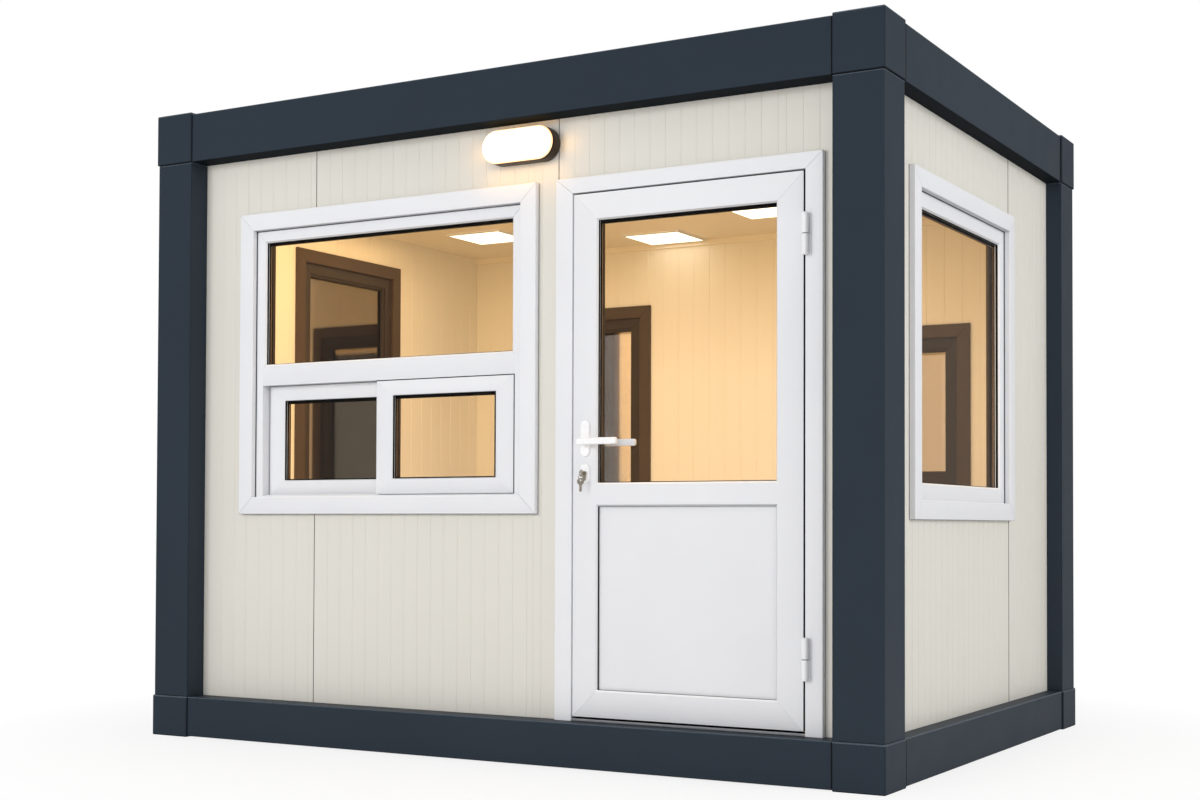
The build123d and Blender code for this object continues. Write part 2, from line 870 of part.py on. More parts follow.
with BuildPart() as door_lever:
    with BuildSketch(front_plane.offset(leaf_back - lever_stand_off)):
        with Locations((handle_x, handle_height)):
            Circle(spindle_radius)
    extrude(amount=leaf_thickness + 2 * lever_stand_off)
    for face, outward in ((leaf_face, 1), (leaf_back, -1)):
        with BuildSketch(front_plane.offset(face + outward * neck_clearance)):
            with Locations((handle_x, handle_height)):
                Circle(neck_radius)
        extrude(amount=outward * (lever_stand_off - neck_clearance))
        bar_middle = handle_x - lever_hub_overhang + lever_length / 2
        with BuildSketch(front_plane.offset(face + outward * lever_stand_off)):
            with Locations((bar_middle, handle_height)):
                RectangleRounded(lever_length, lever_height, lever_corner)
        extrude(amount=outward * lever_thickness)
    bar_faces = [door_lever.faces().sort_by(Axis.Y)[0], door_lever.faces().sort_by(Axis.Y)[-1]]
    chamfer([edge for face in bar_faces for edge in face.edges()], length=lever_edge)
save(door_lever.part, "door_lever")

# Keys: one in the lock, and one that hangs from it on a ring
lock_mouth = leaf_face + plate_thickness + cylinder_reach
bow_centre = lock_mouth + key_shoulder + key_bow_radius
ring_hole = (bow_centre + key_hole_offset, -ring_hole_drop)
turned_key_plane = Plane(origin=(handle_x, -wall_y, lock_height), x_dir=(0, -1, 0), z_dir=(-1, 0, 0))
ring_y = -wall_y - ring_hole[0]
ring_centre_z = lock_height + ring_hole[1] - key_hole_radius + key_ring_wire + ring_slack - key_ring_radius
hanging_hole_z = ring_centre_z - key_ring_radius + key_ring_wire + hanging_slack - key_hole_radius
ring_plane = Plane(origin=(handle_x, ring_y, ring_centre_z), x_dir=(1, 0, 0), z_dir=(0, -1, 0))
hanging_key_plane = Plane(origin=(handle_x, ring_y, hanging_hole_z), x_dir=(1, 1, 0), z_dir=(1, -1, 0))

with BuildPart() as door_keys:
    with BuildSketch(turned_key_plane):
        rectangle(lock_mouth, bow_centre, -key_blade_width / 2, key_blade_width / 2)
        with Locations((bow_centre, 0)):
            Circle(key_bow_radius)
        with Locations(ring_hole):
            Circle(key_hole_radius, mode=Mode.SUBTRACT)
    extrude(amount=key_thickness / 2, both=True)
    with BuildSketch(hanging_key_plane):
        with Locations((0, -key_hole_offset)):
            Circle(key_bow_radius)
        blade_top = -key_hole_offset - key_neck
        rectangle(-key_blade_width / 2, key_blade_width / 2, blade_top - key_length, blade_top)
        Circle(key_hole_radius, mode=Mode.SUBTRACT)
    extrude(amount=key_thickness / 2, both=True)
    with BuildSketch(ring_plane):
        Circle(key_ring_radius + key_ring_wire)
        Circle(key_ring_radius - key_ring_wire, mode=Mode.SUBTRACT)
    extrude(amount=key_ring_wire, both=True)
save(door_keys.part, "door_keys")

# Wall lamp
lamp_place = (from_left(lamp_centre), lamp_height)

with BuildPart() as wall_lamp_housing:
    with BuildSketch(front_plane):
        with Locations(lamp_place):
            SlotOverall(lamp_width, lamp_size)
    extrude(amount=lamp_depth)
    chamfer(wall_lamp_housing.faces().sort_by(Axis.Y)[0].edges(), length=lamp_edge)
save(wall_lamp_housing.part, "wall_lamp_housing")

with BuildPart() as wall_lamp_diffuser:
    with BuildSketch(front_plane.offset(lamp_depth)):
        with Locations(lamp_place):
            SlotOverall(lamp_width - 2 * lamp_rim, lamp_size - 2 * lamp_rim)
    extrude(amount=diffuser_proud)
    chamfer(wall_lamp_diffuser.faces().sort_by(Axis.Y)[0].edges(), length=diffuser_edge)
save(wall_lamp_diffuser.part, "wall_lamp_diffuser")
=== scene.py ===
# %% [markdown]
# # A guard booth, dressed
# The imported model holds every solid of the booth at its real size: a steel frame, sandwich
# panels, plastic windows and a plastic door. This lesson gives those solids their finishes,
# adds what is too small for the solids, and lights the booth as in a studio.
#
# We start by loading that model. Everything below works in metres, with Z up, the front
# towards -Y, and the origin on the ground under the middle of the booth.

# %% Load the booth
import math

import bmesh
import bpy
from mathutils import Matrix, Vector


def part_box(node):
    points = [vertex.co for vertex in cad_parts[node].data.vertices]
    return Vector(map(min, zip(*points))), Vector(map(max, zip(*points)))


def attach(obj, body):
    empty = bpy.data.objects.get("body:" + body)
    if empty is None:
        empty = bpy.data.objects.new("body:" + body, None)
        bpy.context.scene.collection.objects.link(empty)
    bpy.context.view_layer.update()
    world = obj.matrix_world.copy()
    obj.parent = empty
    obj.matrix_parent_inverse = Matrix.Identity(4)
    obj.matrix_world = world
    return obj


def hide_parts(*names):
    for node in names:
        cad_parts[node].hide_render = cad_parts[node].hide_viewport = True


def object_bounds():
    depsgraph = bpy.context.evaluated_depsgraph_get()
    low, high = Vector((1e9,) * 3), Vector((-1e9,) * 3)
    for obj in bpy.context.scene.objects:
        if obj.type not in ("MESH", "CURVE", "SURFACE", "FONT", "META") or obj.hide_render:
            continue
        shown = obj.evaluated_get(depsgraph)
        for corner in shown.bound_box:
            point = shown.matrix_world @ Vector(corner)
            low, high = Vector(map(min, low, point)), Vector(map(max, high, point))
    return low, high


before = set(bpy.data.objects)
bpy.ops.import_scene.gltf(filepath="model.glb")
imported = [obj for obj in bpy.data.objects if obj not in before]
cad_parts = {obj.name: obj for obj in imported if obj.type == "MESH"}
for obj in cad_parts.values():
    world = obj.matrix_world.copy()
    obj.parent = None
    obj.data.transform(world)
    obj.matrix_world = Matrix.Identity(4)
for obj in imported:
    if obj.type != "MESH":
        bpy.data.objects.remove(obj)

cad_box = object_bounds()
print("booth from", [round(v, 3) for v in cad_box[0]], "to", [round(v, 3) for v in cad_box[1]])

# %% [markdown]
# ## Where the walls are
# A window is easiest to draw flat: x along the wall, z up, and y into the booth, with
# y = 0 on the wall's outer face. A wall is then a turn about Z and a distance from the
# middle of the booth. The same drawing serves all four sides, so nothing is modelled twice.

# %% Walls as places to work on
MM = 0.001


class Wall:
    """One side of the booth: what is drawn flat is turned and moved out onto it."""

    def __init__(self, name, turn, outer, inner):
        self.name = name
        self.inner = inner
        out = Matrix.Translation((0, -outer, 0))
        self.matrix = Matrix.Rotation(math.radians(turn), 4, "Z") @ out

    def flat(self, point):
        """A point of the booth in the wall's own flat drawing."""
        return self.matrix.inverted() @ Vector(point)

    def out(self, point):
        """How far a point of the booth is out from the wall's outer face."""
        return -self.flat(point).y


front_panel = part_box("front_wall_left")
back_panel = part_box("back_wall_plain_panels")
side_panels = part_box("side_wall_window_panels")
thick = front_panel[1].y - front_panel[0].y
front_wall = Wall("front", 0, -front_panel[0].y, -front_panel[1].y)
back_wall = Wall("back", 180, back_panel[1].y, back_panel[0].y)
right_wall = Wall("right", 90, side_panels[1].x, side_panels[1].x - thick)
left_wall = Wall("left", -90, -side_panels[0].x, -side_panels[0].x - thick)
print("walls are", round(thick / MM), "mm thick")

# %% [markdown]
# ## Boxes of separate solids
# Some nodes hold several solids, such as the casings of the four single windows. Their
# places are read from the frame, so that nothing here repeats a size. The loaded mesh is
# loose triangles: a copy is merged first, and then its islands are the solids.

# %% Read the solids of a node
MERGE = 0.01 * MM


def solid_boxes(node):
    """Lowest and highest corners of each separate solid of a node."""
    copy = bmesh.new()
    copy.from_mesh(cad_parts[node].data)
    bmesh.ops.remove_doubles(copy, verts=copy.verts, dist=MERGE)
    waiting = set(copy.verts)
    boxes = []
    while waiting:
        island = [waiting.pop()]
        low, high = island[0].co.copy(), island[0].co.copy()
        while island:
            vertex = island.pop()
            low = Vector(map(min, low, vertex.co))
            high = Vector(map(max, high, vertex.co))
            for edge in vertex.link_edges:
                other = edge.other_vert(vertex)
                if other in waiting:
                    waiting.remove(other)
                    island.append(other)
        boxes.append((low, high))
    copy.free()
    return boxes


def flat_box(wall, box):
    """A solid's box as (left, right, bottom, top) on its wall."""
    corners = [wall.flat(corner) for corner in box]
    xs = sorted(corner.x for corner in corners)
    return xs[0], xs[1], box[0].z, box[1].z


def grown_box(box, amount):
    """A flat box with every side moved out."""
    left, right, bottom, top = box
    return left - amount, right + amount, bottom - amount, top + amount


single_walls = (right_wall, left_wall, back_wall)
print(len(solid_boxes("single_window_casings")), "casings round single windows")

# %% [markdown]
# ## Expressions that build node trees
# A wire is an output socket. Adding or multiplying wires adds Math nodes, so a formula
# reads like a formula. Every other node comes from one function, which first sets what the
# node is set to and then fills or links its sockets. It serves shader trees and Geometry
# Nodes trees alike.

# %% Wires and nodes


class Wire:
    """An output socket that can stand in a sum."""

    def __init__(self, tree, socket):
        self.tree = tree
        self.socket = socket

    def math(self, operation, *values):
        return add_node(self.tree, "ShaderNodeMath", {"operation": operation}, dict(enumerate(values)))

    def __add__(self, other):
        return self.math("ADD", self, other)

    __radd__ = __add__

    def __sub__(self, other):
        return self.math("SUBTRACT", self, other)

    def __rsub__(self, other):
        return self.math("SUBTRACT", other, self)

    def __mul__(self, other):
        return self.math("MULTIPLY", self, other)

    __rmul__ = __mul__

    def __truediv__(self, other):
        return self.math("DIVIDE", self, other)

    def low(self, other):
        return self.math("MINIMUM", self, other)

    def high(self, other):
        return self.math("MAXIMUM", self, other)


def add_node(tree, kind, settings=None, sockets=None, output=0):
    """One node with its settings and sockets, and the wire of one of its outputs."""
    node = tree.nodes.new(kind)
    for name, value in (settings or {}).items():
        if name == "stops":
            ramp = node.color_ramp
            while len(ramp.elements) < len(value):
                ramp.elements.new(1)
            for element, (position, tint) in zip(ramp.elements, value):
                element.position = position
                element.color = tint
        else:
            setattr(node, name, value)
    for name, value in (sockets or {}).items():
        if isinstance(value, Wire):
            tree.links.new(value.socket, node.inputs[name])
        else:
            node.inputs[name].default_value = value
    return Wire(tree, node.outputs[output]) if node.outputs else None


def colour(code):
    """A colour written as on screen, made linear."""
    parts = [int(code[i:i + 2], 16) / 255 for i in (1, 3, 5)]
    linear = [p / 12.92 if p <= 0.04045 else ((p + 0.055) / 1.055) ** 2.4 for p in parts]
    return (*linear, 1)


# %% [markdown]
# ## Finishes
# Every finish starts from the same helper: a Principled shader whose constant values are
# set on its own sockets, and whose patterns come from noise in the piece's own space. A
# finish is a short recipe on top of it. Most surfaces of a booth are coated steel or
# plastic, so what tells them apart is the tint, the gloss and the size of the unevenness.

# %% A finish and its patterns


class Finish:
    """A material with one Principled shader and patterns in object space."""

    def __init__(self, name, **values):
        self.material = bpy.data.materials.new(name)
        self.material.use_nodes = True
        self.tree = self.material.node_tree
        self.tree.nodes.clear()
        self.place = add_node(self.tree, "ShaderNodeTexCoord", output=3)
        self.shader = self.node("ShaderNodeBsdfPrincipled", None, values)
        self.output = self.tree.nodes.new("ShaderNodeOutputMaterial")
        self.tree.links.new(self.shader.socket, self.output.inputs["Surface"])

    def node(self, kind, settings=None, sockets=None, output=0):
        return add_node(self.tree, kind, settings, sockets, output)

    def link(self, name, wire):
        self.tree.links.new(wire.socket, self.shader.socket.node.inputs[name])

    def noise(self, scale, detail=2, stretch=(1, 1, 1)):
        """Noise between 0 and 1, with its grain stretched along an axis."""
        vector = self.node("ShaderNodeMapping", None, {"Vector": self.place, "Scale": stretch})
        sockets = {"Vector": vector, "Scale": scale, "Detail": detail}
        return self.node("ShaderNodeTexNoise", None, sockets)

    def mix(self, factor, first, second):
        sockets = {0: factor, 6: first, 7: second}
        return self.node("ShaderNodeMix", {"data_type": "RGBA"}, sockets, output=2)

    def ramp(self, wire, *stops):
        return self.node("ShaderNodeValToRGB", {"stops": stops}, {0: wire})

    def bump(self, height, strength, distance=1 * MM):
        sockets = {"Height": height, "Strength": strength, "Distance": distance}
        self.link("Normal", self.node("ShaderNodeBump", None, sockets))

    def height_of_normal(self):
        """1 on a face that looks up, 0 on an upright one, -1 on an underside."""
        true_normal = self.node("ShaderNodeNewGeometry", output=1)
        return self.node("ShaderNodeSeparateXYZ", None, {0: true_normal}, output=2)

    def covered(self, factor, other):
        """Another shader over this one, by a factor."""
        mixed = self.node("ShaderNodeMixShader", None, {0: factor, 1: self.shader, 2: other})
        self.tree.links.new(mixed.socket, self.output.inputs["Surface"])


def coated(name, light, dark, roughness, patch=3, grain=900, dent=0.05, **values):
    """A smooth coat: two close tints in patches, uneven gloss and a fine orange peel."""
    finish = Finish(name, **values)
    patches = finish.noise(patch, 3)
    finish.link("Base Color", finish.mix(patches, colour(dark), colour(light)))
    finish.link("Roughness", roughness + 0.10 * (finish.noise(patch * 5) - 0.5))
    finish.bump(finish.noise(grain, 1), dent)
    return finish.material


def profile_coat():
    """White plastic, with a painted highlight where it looks up and painted shade on its undersides.
    """
    finish = Finish("white_profile")
    plastic = finish.mix(finish.noise(2.5, 3), colour("#E4E5E9"), colour("#EBECEF"))
    height = finish.height_of_normal()
    # Painted highlight: faces that look up are mixed towards near white.
    lifted = finish.mix((1.4 * height).high(0).low(1), plastic, colour("#FDFDFD"))
    # Painted shade: undersides are mixed towards grey.
    finish.link("Base Color", finish.mix((-0.9 * height).high(0).low(1), lifted, colour("#A4A7AD")))
    finish.link("Roughness", 0.34 + 0.10 * (finish.noise(12) - 0.5))
    finish.bump(finish.noise(1200, 1), 0.03)
    return finish.material


EDGE_RADIUS = 5 * MM


def frame_coat():
    """Anthracite powder coat, with a painted highlight on edges that look up and painted shade on the
    other edges and on the undersides.
    """
    finish = Finish("anthracite_coat", **{"Specular IOR Level": 0.16})
    patches = finish.noise(1.5, 3)
    coat = finish.mix(patches, colour("#28303A"), colour("#2D3741"))
    rounded = finish.node("ShaderNodeBevel", {"samples": 4}, {"Radius": EDGE_RADIUS})
    true = finish.node("ShaderNodeNewGeometry", output=1)
    dot = {"operation": "DOT_PRODUCT"}
    along = finish.node("ShaderNodeVectorMath", dot, {0: rounded, 1: true}, output=1)
    edge = ((1 - along) * 9).low(1)
    height = finish.node("ShaderNodeSeparateXYZ", None, {0: rounded}, output=2)
    upward = (2.5 * height).high(0).low(1)
    # Painted shade: edges that do not look up are darkened.
    with_painted_edge_shade = finish.mix(0.6 * edge * (1 - upward), coat, colour("#151A20"))
    # Painted highlight: edges that look up are lightened towards a pale blue grey.
    finish.link("Base Color", finish.mix(edge * upward, with_painted_edge_shade, colour("#8A97A5")))
    finish.link("Roughness", 0.52 + 0.12 * (finish.noise(6) - 0.5))
    grain = finish.noise(700, 1)
    sockets = {"Height": grain, "Strength": 0.05, "Distance": 1 * MM, "Normal": rounded}
    finish.link("Normal", finish.node("ShaderNodeBump", None, sockets))
    # Painted shade: undersides are mostly covered by a near black diffuse shader.
    painted_underside_shade = finish.node("ShaderNodeBsdfDiffuse", None, {"Color": colour("#15181B")})
    finish.covered(0.85 * (-1 * finish.height_of_normal()).high(0), painted_underside_shade)
    return finish.material


frame_paint = frame_coat()
wall_skin = coated("cream_panel_skin", "#E2DFD7", "#DAD7CE", 0.55, patch=1.2, grain=500)
ceiling_skin = coated("white_ceiling_skin", "#E6E0D4", "#DDD7CA", 0.6, patch=1.5)
white_profile = profile_coat()
dark_profile = coated("dark_brown_profile", "#382D24", "#2D241C", 0.45, patch=4, grain=300, dent=0.15)
brown_trim = coated("brown_trim", "#4C3D2F", "#403226", 0.5, patch=4, grain=300, dent=0.15)
hinge_coat = coated("white_hinge_coat", "#F5F6F7", "#EEEFF1", 0.3, patch=12)
handle_coat = coated("white_handle_coat", "#FBFBFC", "#F4F4F6", 0.28, patch=12)
lamp_bronze = coated(
    "bronze_lamp_coat", "#33251A", "#291D14", 0.42, patch=8, **{"Specular IOR Level": 0.2},
)
# Grey of the beads round the casings, which also paints their shadow lines.
grey_sealant_shadow = coated("grey_sealant_shadow", "#4C4E52", "#3E4044", 0.6, patch=20, grain=400, dent=0.2)
# Black rubber of the seals; where seals fill the gaps round the door and the sashes, this black also
# paints the shade in those gaps.
seal_rubber_and_gap_shade = coated(
    "black_rubber_and_gap_shade", "#100E0B", "#090807", 0.7, patch=20, grain=400, dent=0.2,
    **{"Specular IOR Level": 0.12},
)
print(len(bpy.data.materials), "coats made")

# %% [markdown]
# ## Metals, floor and glass
# Galvanised steel shows a grey spangle, so its recipe uses Voronoi cells. The lock and the
# door sill are plain metal with a fine brushed grain, and the spacer bars between the panes
# have a brown coat. The glass is a thin sheet: a mirror that is almost transparent and shows
# more at a grazing angle, which renders without the noise of real refraction.

# %% Metal, vinyl and glass


def galvanised():
    """Zinc with its spangle."""
    finish = Finish("galvanised_steel", Metallic=0.85)
    cells = finish.node("ShaderNodeTexVoronoi", None, {"Vector": finish.place, "Scale": 60})
    finish.link("Base Color", finish.mix(cells, colour("#9A9C9E"), colour("#B4B6B8")))
    finish.link("Roughness", 0.38 + 0.2 * cells)
    finish.bump(cells, 0.05)
    return finish.material


def brushed(name, light, dark, roughness, stretch):
    """Metal with a grain drawn out along one axis."""
    finish = Finish(name, Metallic=1)
    grain = finish.noise(900, 3, stretch)
    finish.link("Base Color", finish.mix(grain, colour(dark), colour(light)))
    finish.link("Roughness", roughness + 0.15 * grain)
    finish.bump(grain, 0.04)
    return finish.material


def vinyl_floor():
    """Vinyl planks with a printed grain."""
    finish = Finish("grey_oak_vinyl")
    plank = finish.node("ShaderNodeTexBrick", None, {
        "Vector": finish.place, "Scale": 1, "Color1": colour("#8C8072"), "Color2": colour("#7C7062"),
        "Mortar": colour("#4E463C"), "Mortar Size": 0.0015, "Brick Width": 1.2, "Row Height": 0.18,
    })
    grain = finish.noise(9, 6, (1, 14, 1))
    finish.link("Base Color", finish.mix(0.35 * grain, plank, colour("#5E5346")))
    finish.link("Roughness", 0.4 + 0.2 * grain)
    finish.bump(grain, 0.1)
    return finish.material


def clear_pane():
    """Thin clear glass: a mirror that shows only a little, and more at a grazing angle."""
    finish = Finish("clear_pane", Metallic=1, **{"Base Color": colour("#F4F8F7")})
    facing = finish.node("ShaderNodeLayerWeight", None, {"Blend": 0.5}, output=1)
    finish.link("Alpha", 0.006 + 0.10 * facing.math("POWER", facing, 5.0))
    finish.link("Roughness", 0.015 + 0.02 * finish.noise(2, 2))
    finish.material.surface_render_method = "BLENDED"
    return finish.material


def bronze_pane(name, light, dark, cover):
    """Sun-control glass with a bronze mirror coat, which shows the lit room."""
    finish = Finish(name, Metallic=1, Alpha=cover)
    cloud = finish.noise(1.2, 2)
    finish.link("Base Color", finish.mix(cloud, colour(dark), colour(light)))
    finish.link("Roughness", 0.02 + 0.03 * cloud)
    finish.material.surface_render_method = "BLENDED"
    return finish.material


steel = galvanised()
nickel = brushed("nickel_lock_metal", "#C9C1B2", "#A59C8C", 0.22, (1, 1, 8))
sill_metal = brushed("anodised_sill", "#E3E4E7", "#CFD1D5", 0.3, (0.05, 1, 1))
spacer_bar = coated("brown_spacer_bar", "#80684F", "#6A5642", 0.4, patch=30)
floor_vinyl = vinyl_floor()
clear_glass = clear_pane()
print("glass, metals and floor made")

# %% [markdown]
# ## Lit surfaces
# The wall lamp's cover and the ceiling panels shine. The lamp is white in the middle and
# warms towards its rim, as an opal cover does. The rim is found from the piece's own
# coordinates, so the pattern stays with the piece when it is looked at from another side.
# The ceiling panels are warm all over, with a faint haze.

# %% Opal covers


def opal(name, centre, half_length, radius, strength, warm):
    """Emission that warms towards the rim of a long round-ended cover."""
    values = {"Base Color": colour("#F6EEDC"), "Roughness": 0.35, "Emission Strength": strength}
    finish = Finish(name, **values)
    to_middle = {"Vector": finish.place, "Location": [-c for c in centre]}
    shifted = finish.node("ShaderNodeMapping", None, to_middle)
    parts = finish.node("ShaderNodeSeparateXYZ", None, {0: shifted})
    along = Wire(finish.tree, parts.socket.node.outputs[0])
    up = Wire(finish.tree, parts.socket.node.outputs[2])
    past = (along.math("ABSOLUTE", along) - (half_length - radius)).high(0)
    away = past.math("SQRT", past * past + up * up) / radius
    glow = finish.ramp(away, (0.0, (1, 0.97, 0.9, 1)), (0.80, (1, 0.93, 0.8, 1)), (0.95, warm))
    finish.link("Emission Color", glow)
    return finish.material


COVER_LAP = 5 * MM
lamp_low, lamp_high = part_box("wall_lamp_diffuser")
lamp_centre = (lamp_low + lamp_high) / 2
half_length = (lamp_high.x - lamp_low.x) / 2 + COVER_LAP
half_height = (lamp_high.z - lamp_low.z) / 2 + COVER_LAP
lamp_glow = opal("lamp_opal", lamp_centre, half_length, half_height, 3.0, (0.36, 0.15, 0.03, 1))


def ceiling_glow():
    """Emission that is nearly even over a light panel."""
    values = {"Base Color": colour("#FFF6E4"), "Roughness": 0.5, "Emission Strength": 1.7}
    finish = Finish("ceiling_panel_opal", **values)
    haze = finish.noise(3, 1)
    finish.link("Emission Color", finish.mix(haze, (1, 0.90, 0.68, 1), (1, 0.94, 0.78, 1)))
    return finish.material


panel_glow = ceiling_glow()
print("lamp glows round", [round(v, 3) for v in lamp_centre])

# %% [markdown]
# ## Finishes for the solids that stay
# A solid whose shape is right keeps its mesh and only gets its finish. The rest is replaced
# further down by pieces with mitred corners and soft edges.

# %% Give the solids their finishes
finishes = {
    frame_paint: (
        "bottom_beams_long", "bottom_beams_short", "top_beams_long", "top_beams_short", "columns",
        "bottom_corner_blocks", "top_corner_blocks",
    ),
    steel: ("floor_joists", "roof_joists", "roof_sheet"),
    floor_vinyl: ("floor_deck",),
    ceiling_skin: ("ceiling_panel", "ceiling_trims"),
    panel_glow: ("ceiling_lights",),
    wall_skin: (
        "front_wall_left", "front_wall_middle", "front_wall_door_pier", "front_wall_over_door",
        "front_wall_right", "side_wall_window_panels", "side_wall_plain_panels",
        "back_wall_plain_panels", "back_wall_window_panel",
    ),
    white_profile: (
        "front_window_casing", "front_window_frame", "sliding_sash_outer", "sliding_sash_inner",
        "single_window_casings", "single_window_frames", "door_casing", "door_frame", "door_leaf",
        "door_lower_panel",
    ),
    dark_profile: ("dark_window_trims",),
    clear_glass: ("front_window_glass", "single_window_glass", "door_glass"),
    spacer_bar: ("window_spacers", "door_glass_spacer"),
    sill_metal: ("threshold",),
    hinge_coat: ("hinge_lower_knuckles", "hinge_upper_knuckles"),
    handle_coat: ("handle_plates", "door_lever"),
    nickel: ("lock_cylinder", "door_keys"),
    lamp_bronze: ("wall_lamp_housing",),
    lamp_glow: ("wall_lamp_diffuser",),
}
for material, nodes in finishes.items():
    for node in nodes:
        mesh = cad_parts[node].data
        mesh.materials.clear()
        mesh.materials.append(material)
print(sum(len(nodes) for nodes in finishes.values()), "solids finished of", len(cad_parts))

# %% [markdown]
# ## From a flat drawing to a piece
# One function takes a mesh that was drawn flat, moves it onto its wall, sets its faces
# outwards and hands it to the body that carries it, with its finish as its material.

# %% Make a piece
AS_DRAWN = Matrix.Identity(4)
SHARP_ANGLE = math.radians(32)


def make_piece(name, drawing, place, material, body="root", stands_for=()):
    """Turn a drawing into a finished piece, on a wall or at a place of its own."""
    bmesh.ops.remove_doubles(drawing, verts=drawing.verts, dist=MERGE)
    bmesh.ops.recalc_face_normals(drawing, faces=drawing.faces)
    drawing.transform(place.matrix if isinstance(place, Wall) else place)
    mesh = bpy.data.meshes.new(name)
    drawing.to_mesh(mesh)
    drawing.free()
    mesh.shade_smooth()
    mesh.set_sharp_from_angle(angle=SHARP_ANGLE)
    mesh.materials.append(material)
    piece = bpy.data.objects.new(name, mesh)
    bpy.context.scene.collection.objects.link(piece)
    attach(piece, body)
    if stands_for:
        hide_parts(*stands_for)
    print(name, len(mesh.polygons), "faces")
    return piece


# %% [markdown]
# ## Glass units
# A double glazed unit is two panes with a spacer between them, held 12 mm deep in its
# profile. The clear opening of each window is therefore the pane's outline less that lap.
# All frames, seals and spacers below are drawn from these openings.

# %% Find the glass units
GLASS_LAP = 12 * MM
IN_THE_WALL = 60 * MM


class Unit:
    """A glass unit: its wall, its clear opening and how far out its two faces are."""

    def __init__(self, wall, boxes):
        self.wall = wall
        self.light = grown_box(flat_box(wall, boxes[0]), -GLASS_LAP)
        outs = [wall.out(corner) for box in boxes for corner in box]
        self.front = max(outs)
        self.back = min(outs)
        self.middle = (self.front + self.back) / 2


def glass_units(node, walls):
    """The units of a node, each two panes that share an outline, highest first."""
    units = []
    boxes = solid_boxes(node)
    for wall in walls:
        outlines = {}
        for box in boxes:
            depths = [abs(wall.flat(corner).y) for corner in box]
            if all(abs(depth - thick / 2) < IN_THE_WALL for depth in depths):
                key = tuple(round(v, 3) for v in flat_box(wall, box))
                outlines.setdefault(key, []).append(box)
        units += [Unit(wall, pair) for pair in outlines.values()]
    return sorted(units, key=lambda unit: (-unit.light[3], -unit.front))


front_units = glass_units("front_window_glass", [front_wall])
door_unit, = glass_units("door_glass", [front_wall])
single_units = glass_units("single_window_glass", single_walls)
upper_unit, outer_sash_unit, inner_sash_unit = front_units
for unit in (*front_units, door_unit, *single_units):
    print("clear opening", unit.wall.name, [round(v, 3) for v in unit.light])

# %% [markdown]
# ## Mitred bars
# Window and door profiles are long extrusions, cut at an angle and welded at the corners.
# A fine line stays at each weld. So a frame is drawn as four bars, each a closed section
# swept between two mitres, with a hairline gap. The section is a list of corners, given as
# the distance in from the frame's outer edge and the height over the wall. Where the four
# sides differ in width, the mitre runs from the outer corner to the inner one all the same.

# %% Sections and bars
WELD = 0.7 * MM
FINE_WELD = 0.15 * MM
SOFT = 1.2 * MM
ARC_STEPS = 3


def softened(corners, radius=SOFT, sharp=()):
    """A section with its corners rounded, apart from those named as sharp."""
    points = []
    count = len(corners)
    for i, corner in enumerate(corners):
        here = Vector(corner)
        if i in sharp:
            points.append(here)
            continue
        before = Vector(corners[i - 1]) - here
        after = Vector(corners[(i + 1) % count]) - here
        turn = before.angle(after)
        reach = min(radius / math.tan(turn / 2), before.length * 0.4, after.length * 0.4)
        start, end = here + before.normalized() * reach, here + after.normalized() * reach
        for step in range(ARC_STEPS + 1):
            t = step / ARC_STEPS
            points.append(start * (1 - t) ** 2 + here * 2 * t * (1 - t) + end * t ** 2)
    return points


def swept(drawing, *rings):
    """A closed body through several rings of points."""
    rows = [[drawing.verts.new(point) for point in ring] for ring in rings]
    count = len(rings[0])
    for near, far in zip(rows, rows[1:]):
        for i in range(count):
            j = (i + 1) % count
            drawing.faces.new((near[i], near[j], far[j], far[i]))
    drawing.faces.new(rows[0])
    drawing.faces.new(rows[-1][::-1])


def mitred_bars(drawing, outer, inner, section, sides="brtl", weld=WELD):
    """Bars between two flat boxes. An end where the next side is missing is cut square."""
    left, right, bottom, top = outer
    width = inner[0] - left
    share = {
        "l": 1, "r": (right - inner[1]) / width,
        "b": (inner[2] - bottom) / width, "t": (top - inner[3]) / width,
    }
    corners = {
        "bl": (left, bottom, 1, 1), "br": (right, bottom, -1, 1),
        "tr": (right, top, -1, -1), "tl": (left, top, 1, -1),
    }
    ends = {"b": ("bl", "br"), "r": ("br", "tr"), "t": ("tr", "tl"), "l": ("tl", "bl")}
    for side in sides:
        rings = []
        for corner in ends[side]:
            x, z, right_in, up_in = corners[corner]
            other = corner.replace(side, "")
            upright = side in "lr"
            square = other not in sides
            across, up = (side, other) if upright else (other, side)
            ring = []
            for inset, out in section:
                move_x = right_in * inset * share[across] if upright or not square else 0
                move_z = up_in * inset * share[up] if not upright or not square else 0
                if not square:
                    move_x += 0 if upright else right_in * weld
                    move_z += up_in * weld if upright else 0
                ring.append((x + move_x, -out, z + move_z))
            rings.append(ring)
        swept(drawing, *rings)


def flat_bar(drawing, box, back, front, radius=SOFT, sharp=(), upright=False):
    """A straight bar that fills a flat box, with its long front edges rounded."""
    left, right, bottom, top = box
    low, high, start, end = (left, right, bottom, top) if upright else (bottom, top, left, right)
    corners = [(low, back), (low, front), (high, front), (high, back)]
    section = softened(corners, radius, (0, 3, *sharp))
    rings = []
    for along in (start, end):
        if upright:
            rings.append([(across, -out, along) for across, out in section])
        else:
            rings.append([(along, -out, across) for across, out in section])
    swept(drawing, *rings)


# %% [markdown]
# ## Window casings
# The casing is a flat white trim that laps over the panel, the same on all four walls. Its
# outer edge is rounded and its inner edge is a small step down to the frame behind it.

# %% Casings
CASING_FACE = 70 * MM
casing_out = front_wall.out(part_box("front_window_casing")[0])
front_casing = flat_box(front_wall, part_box("front_window_casing"))


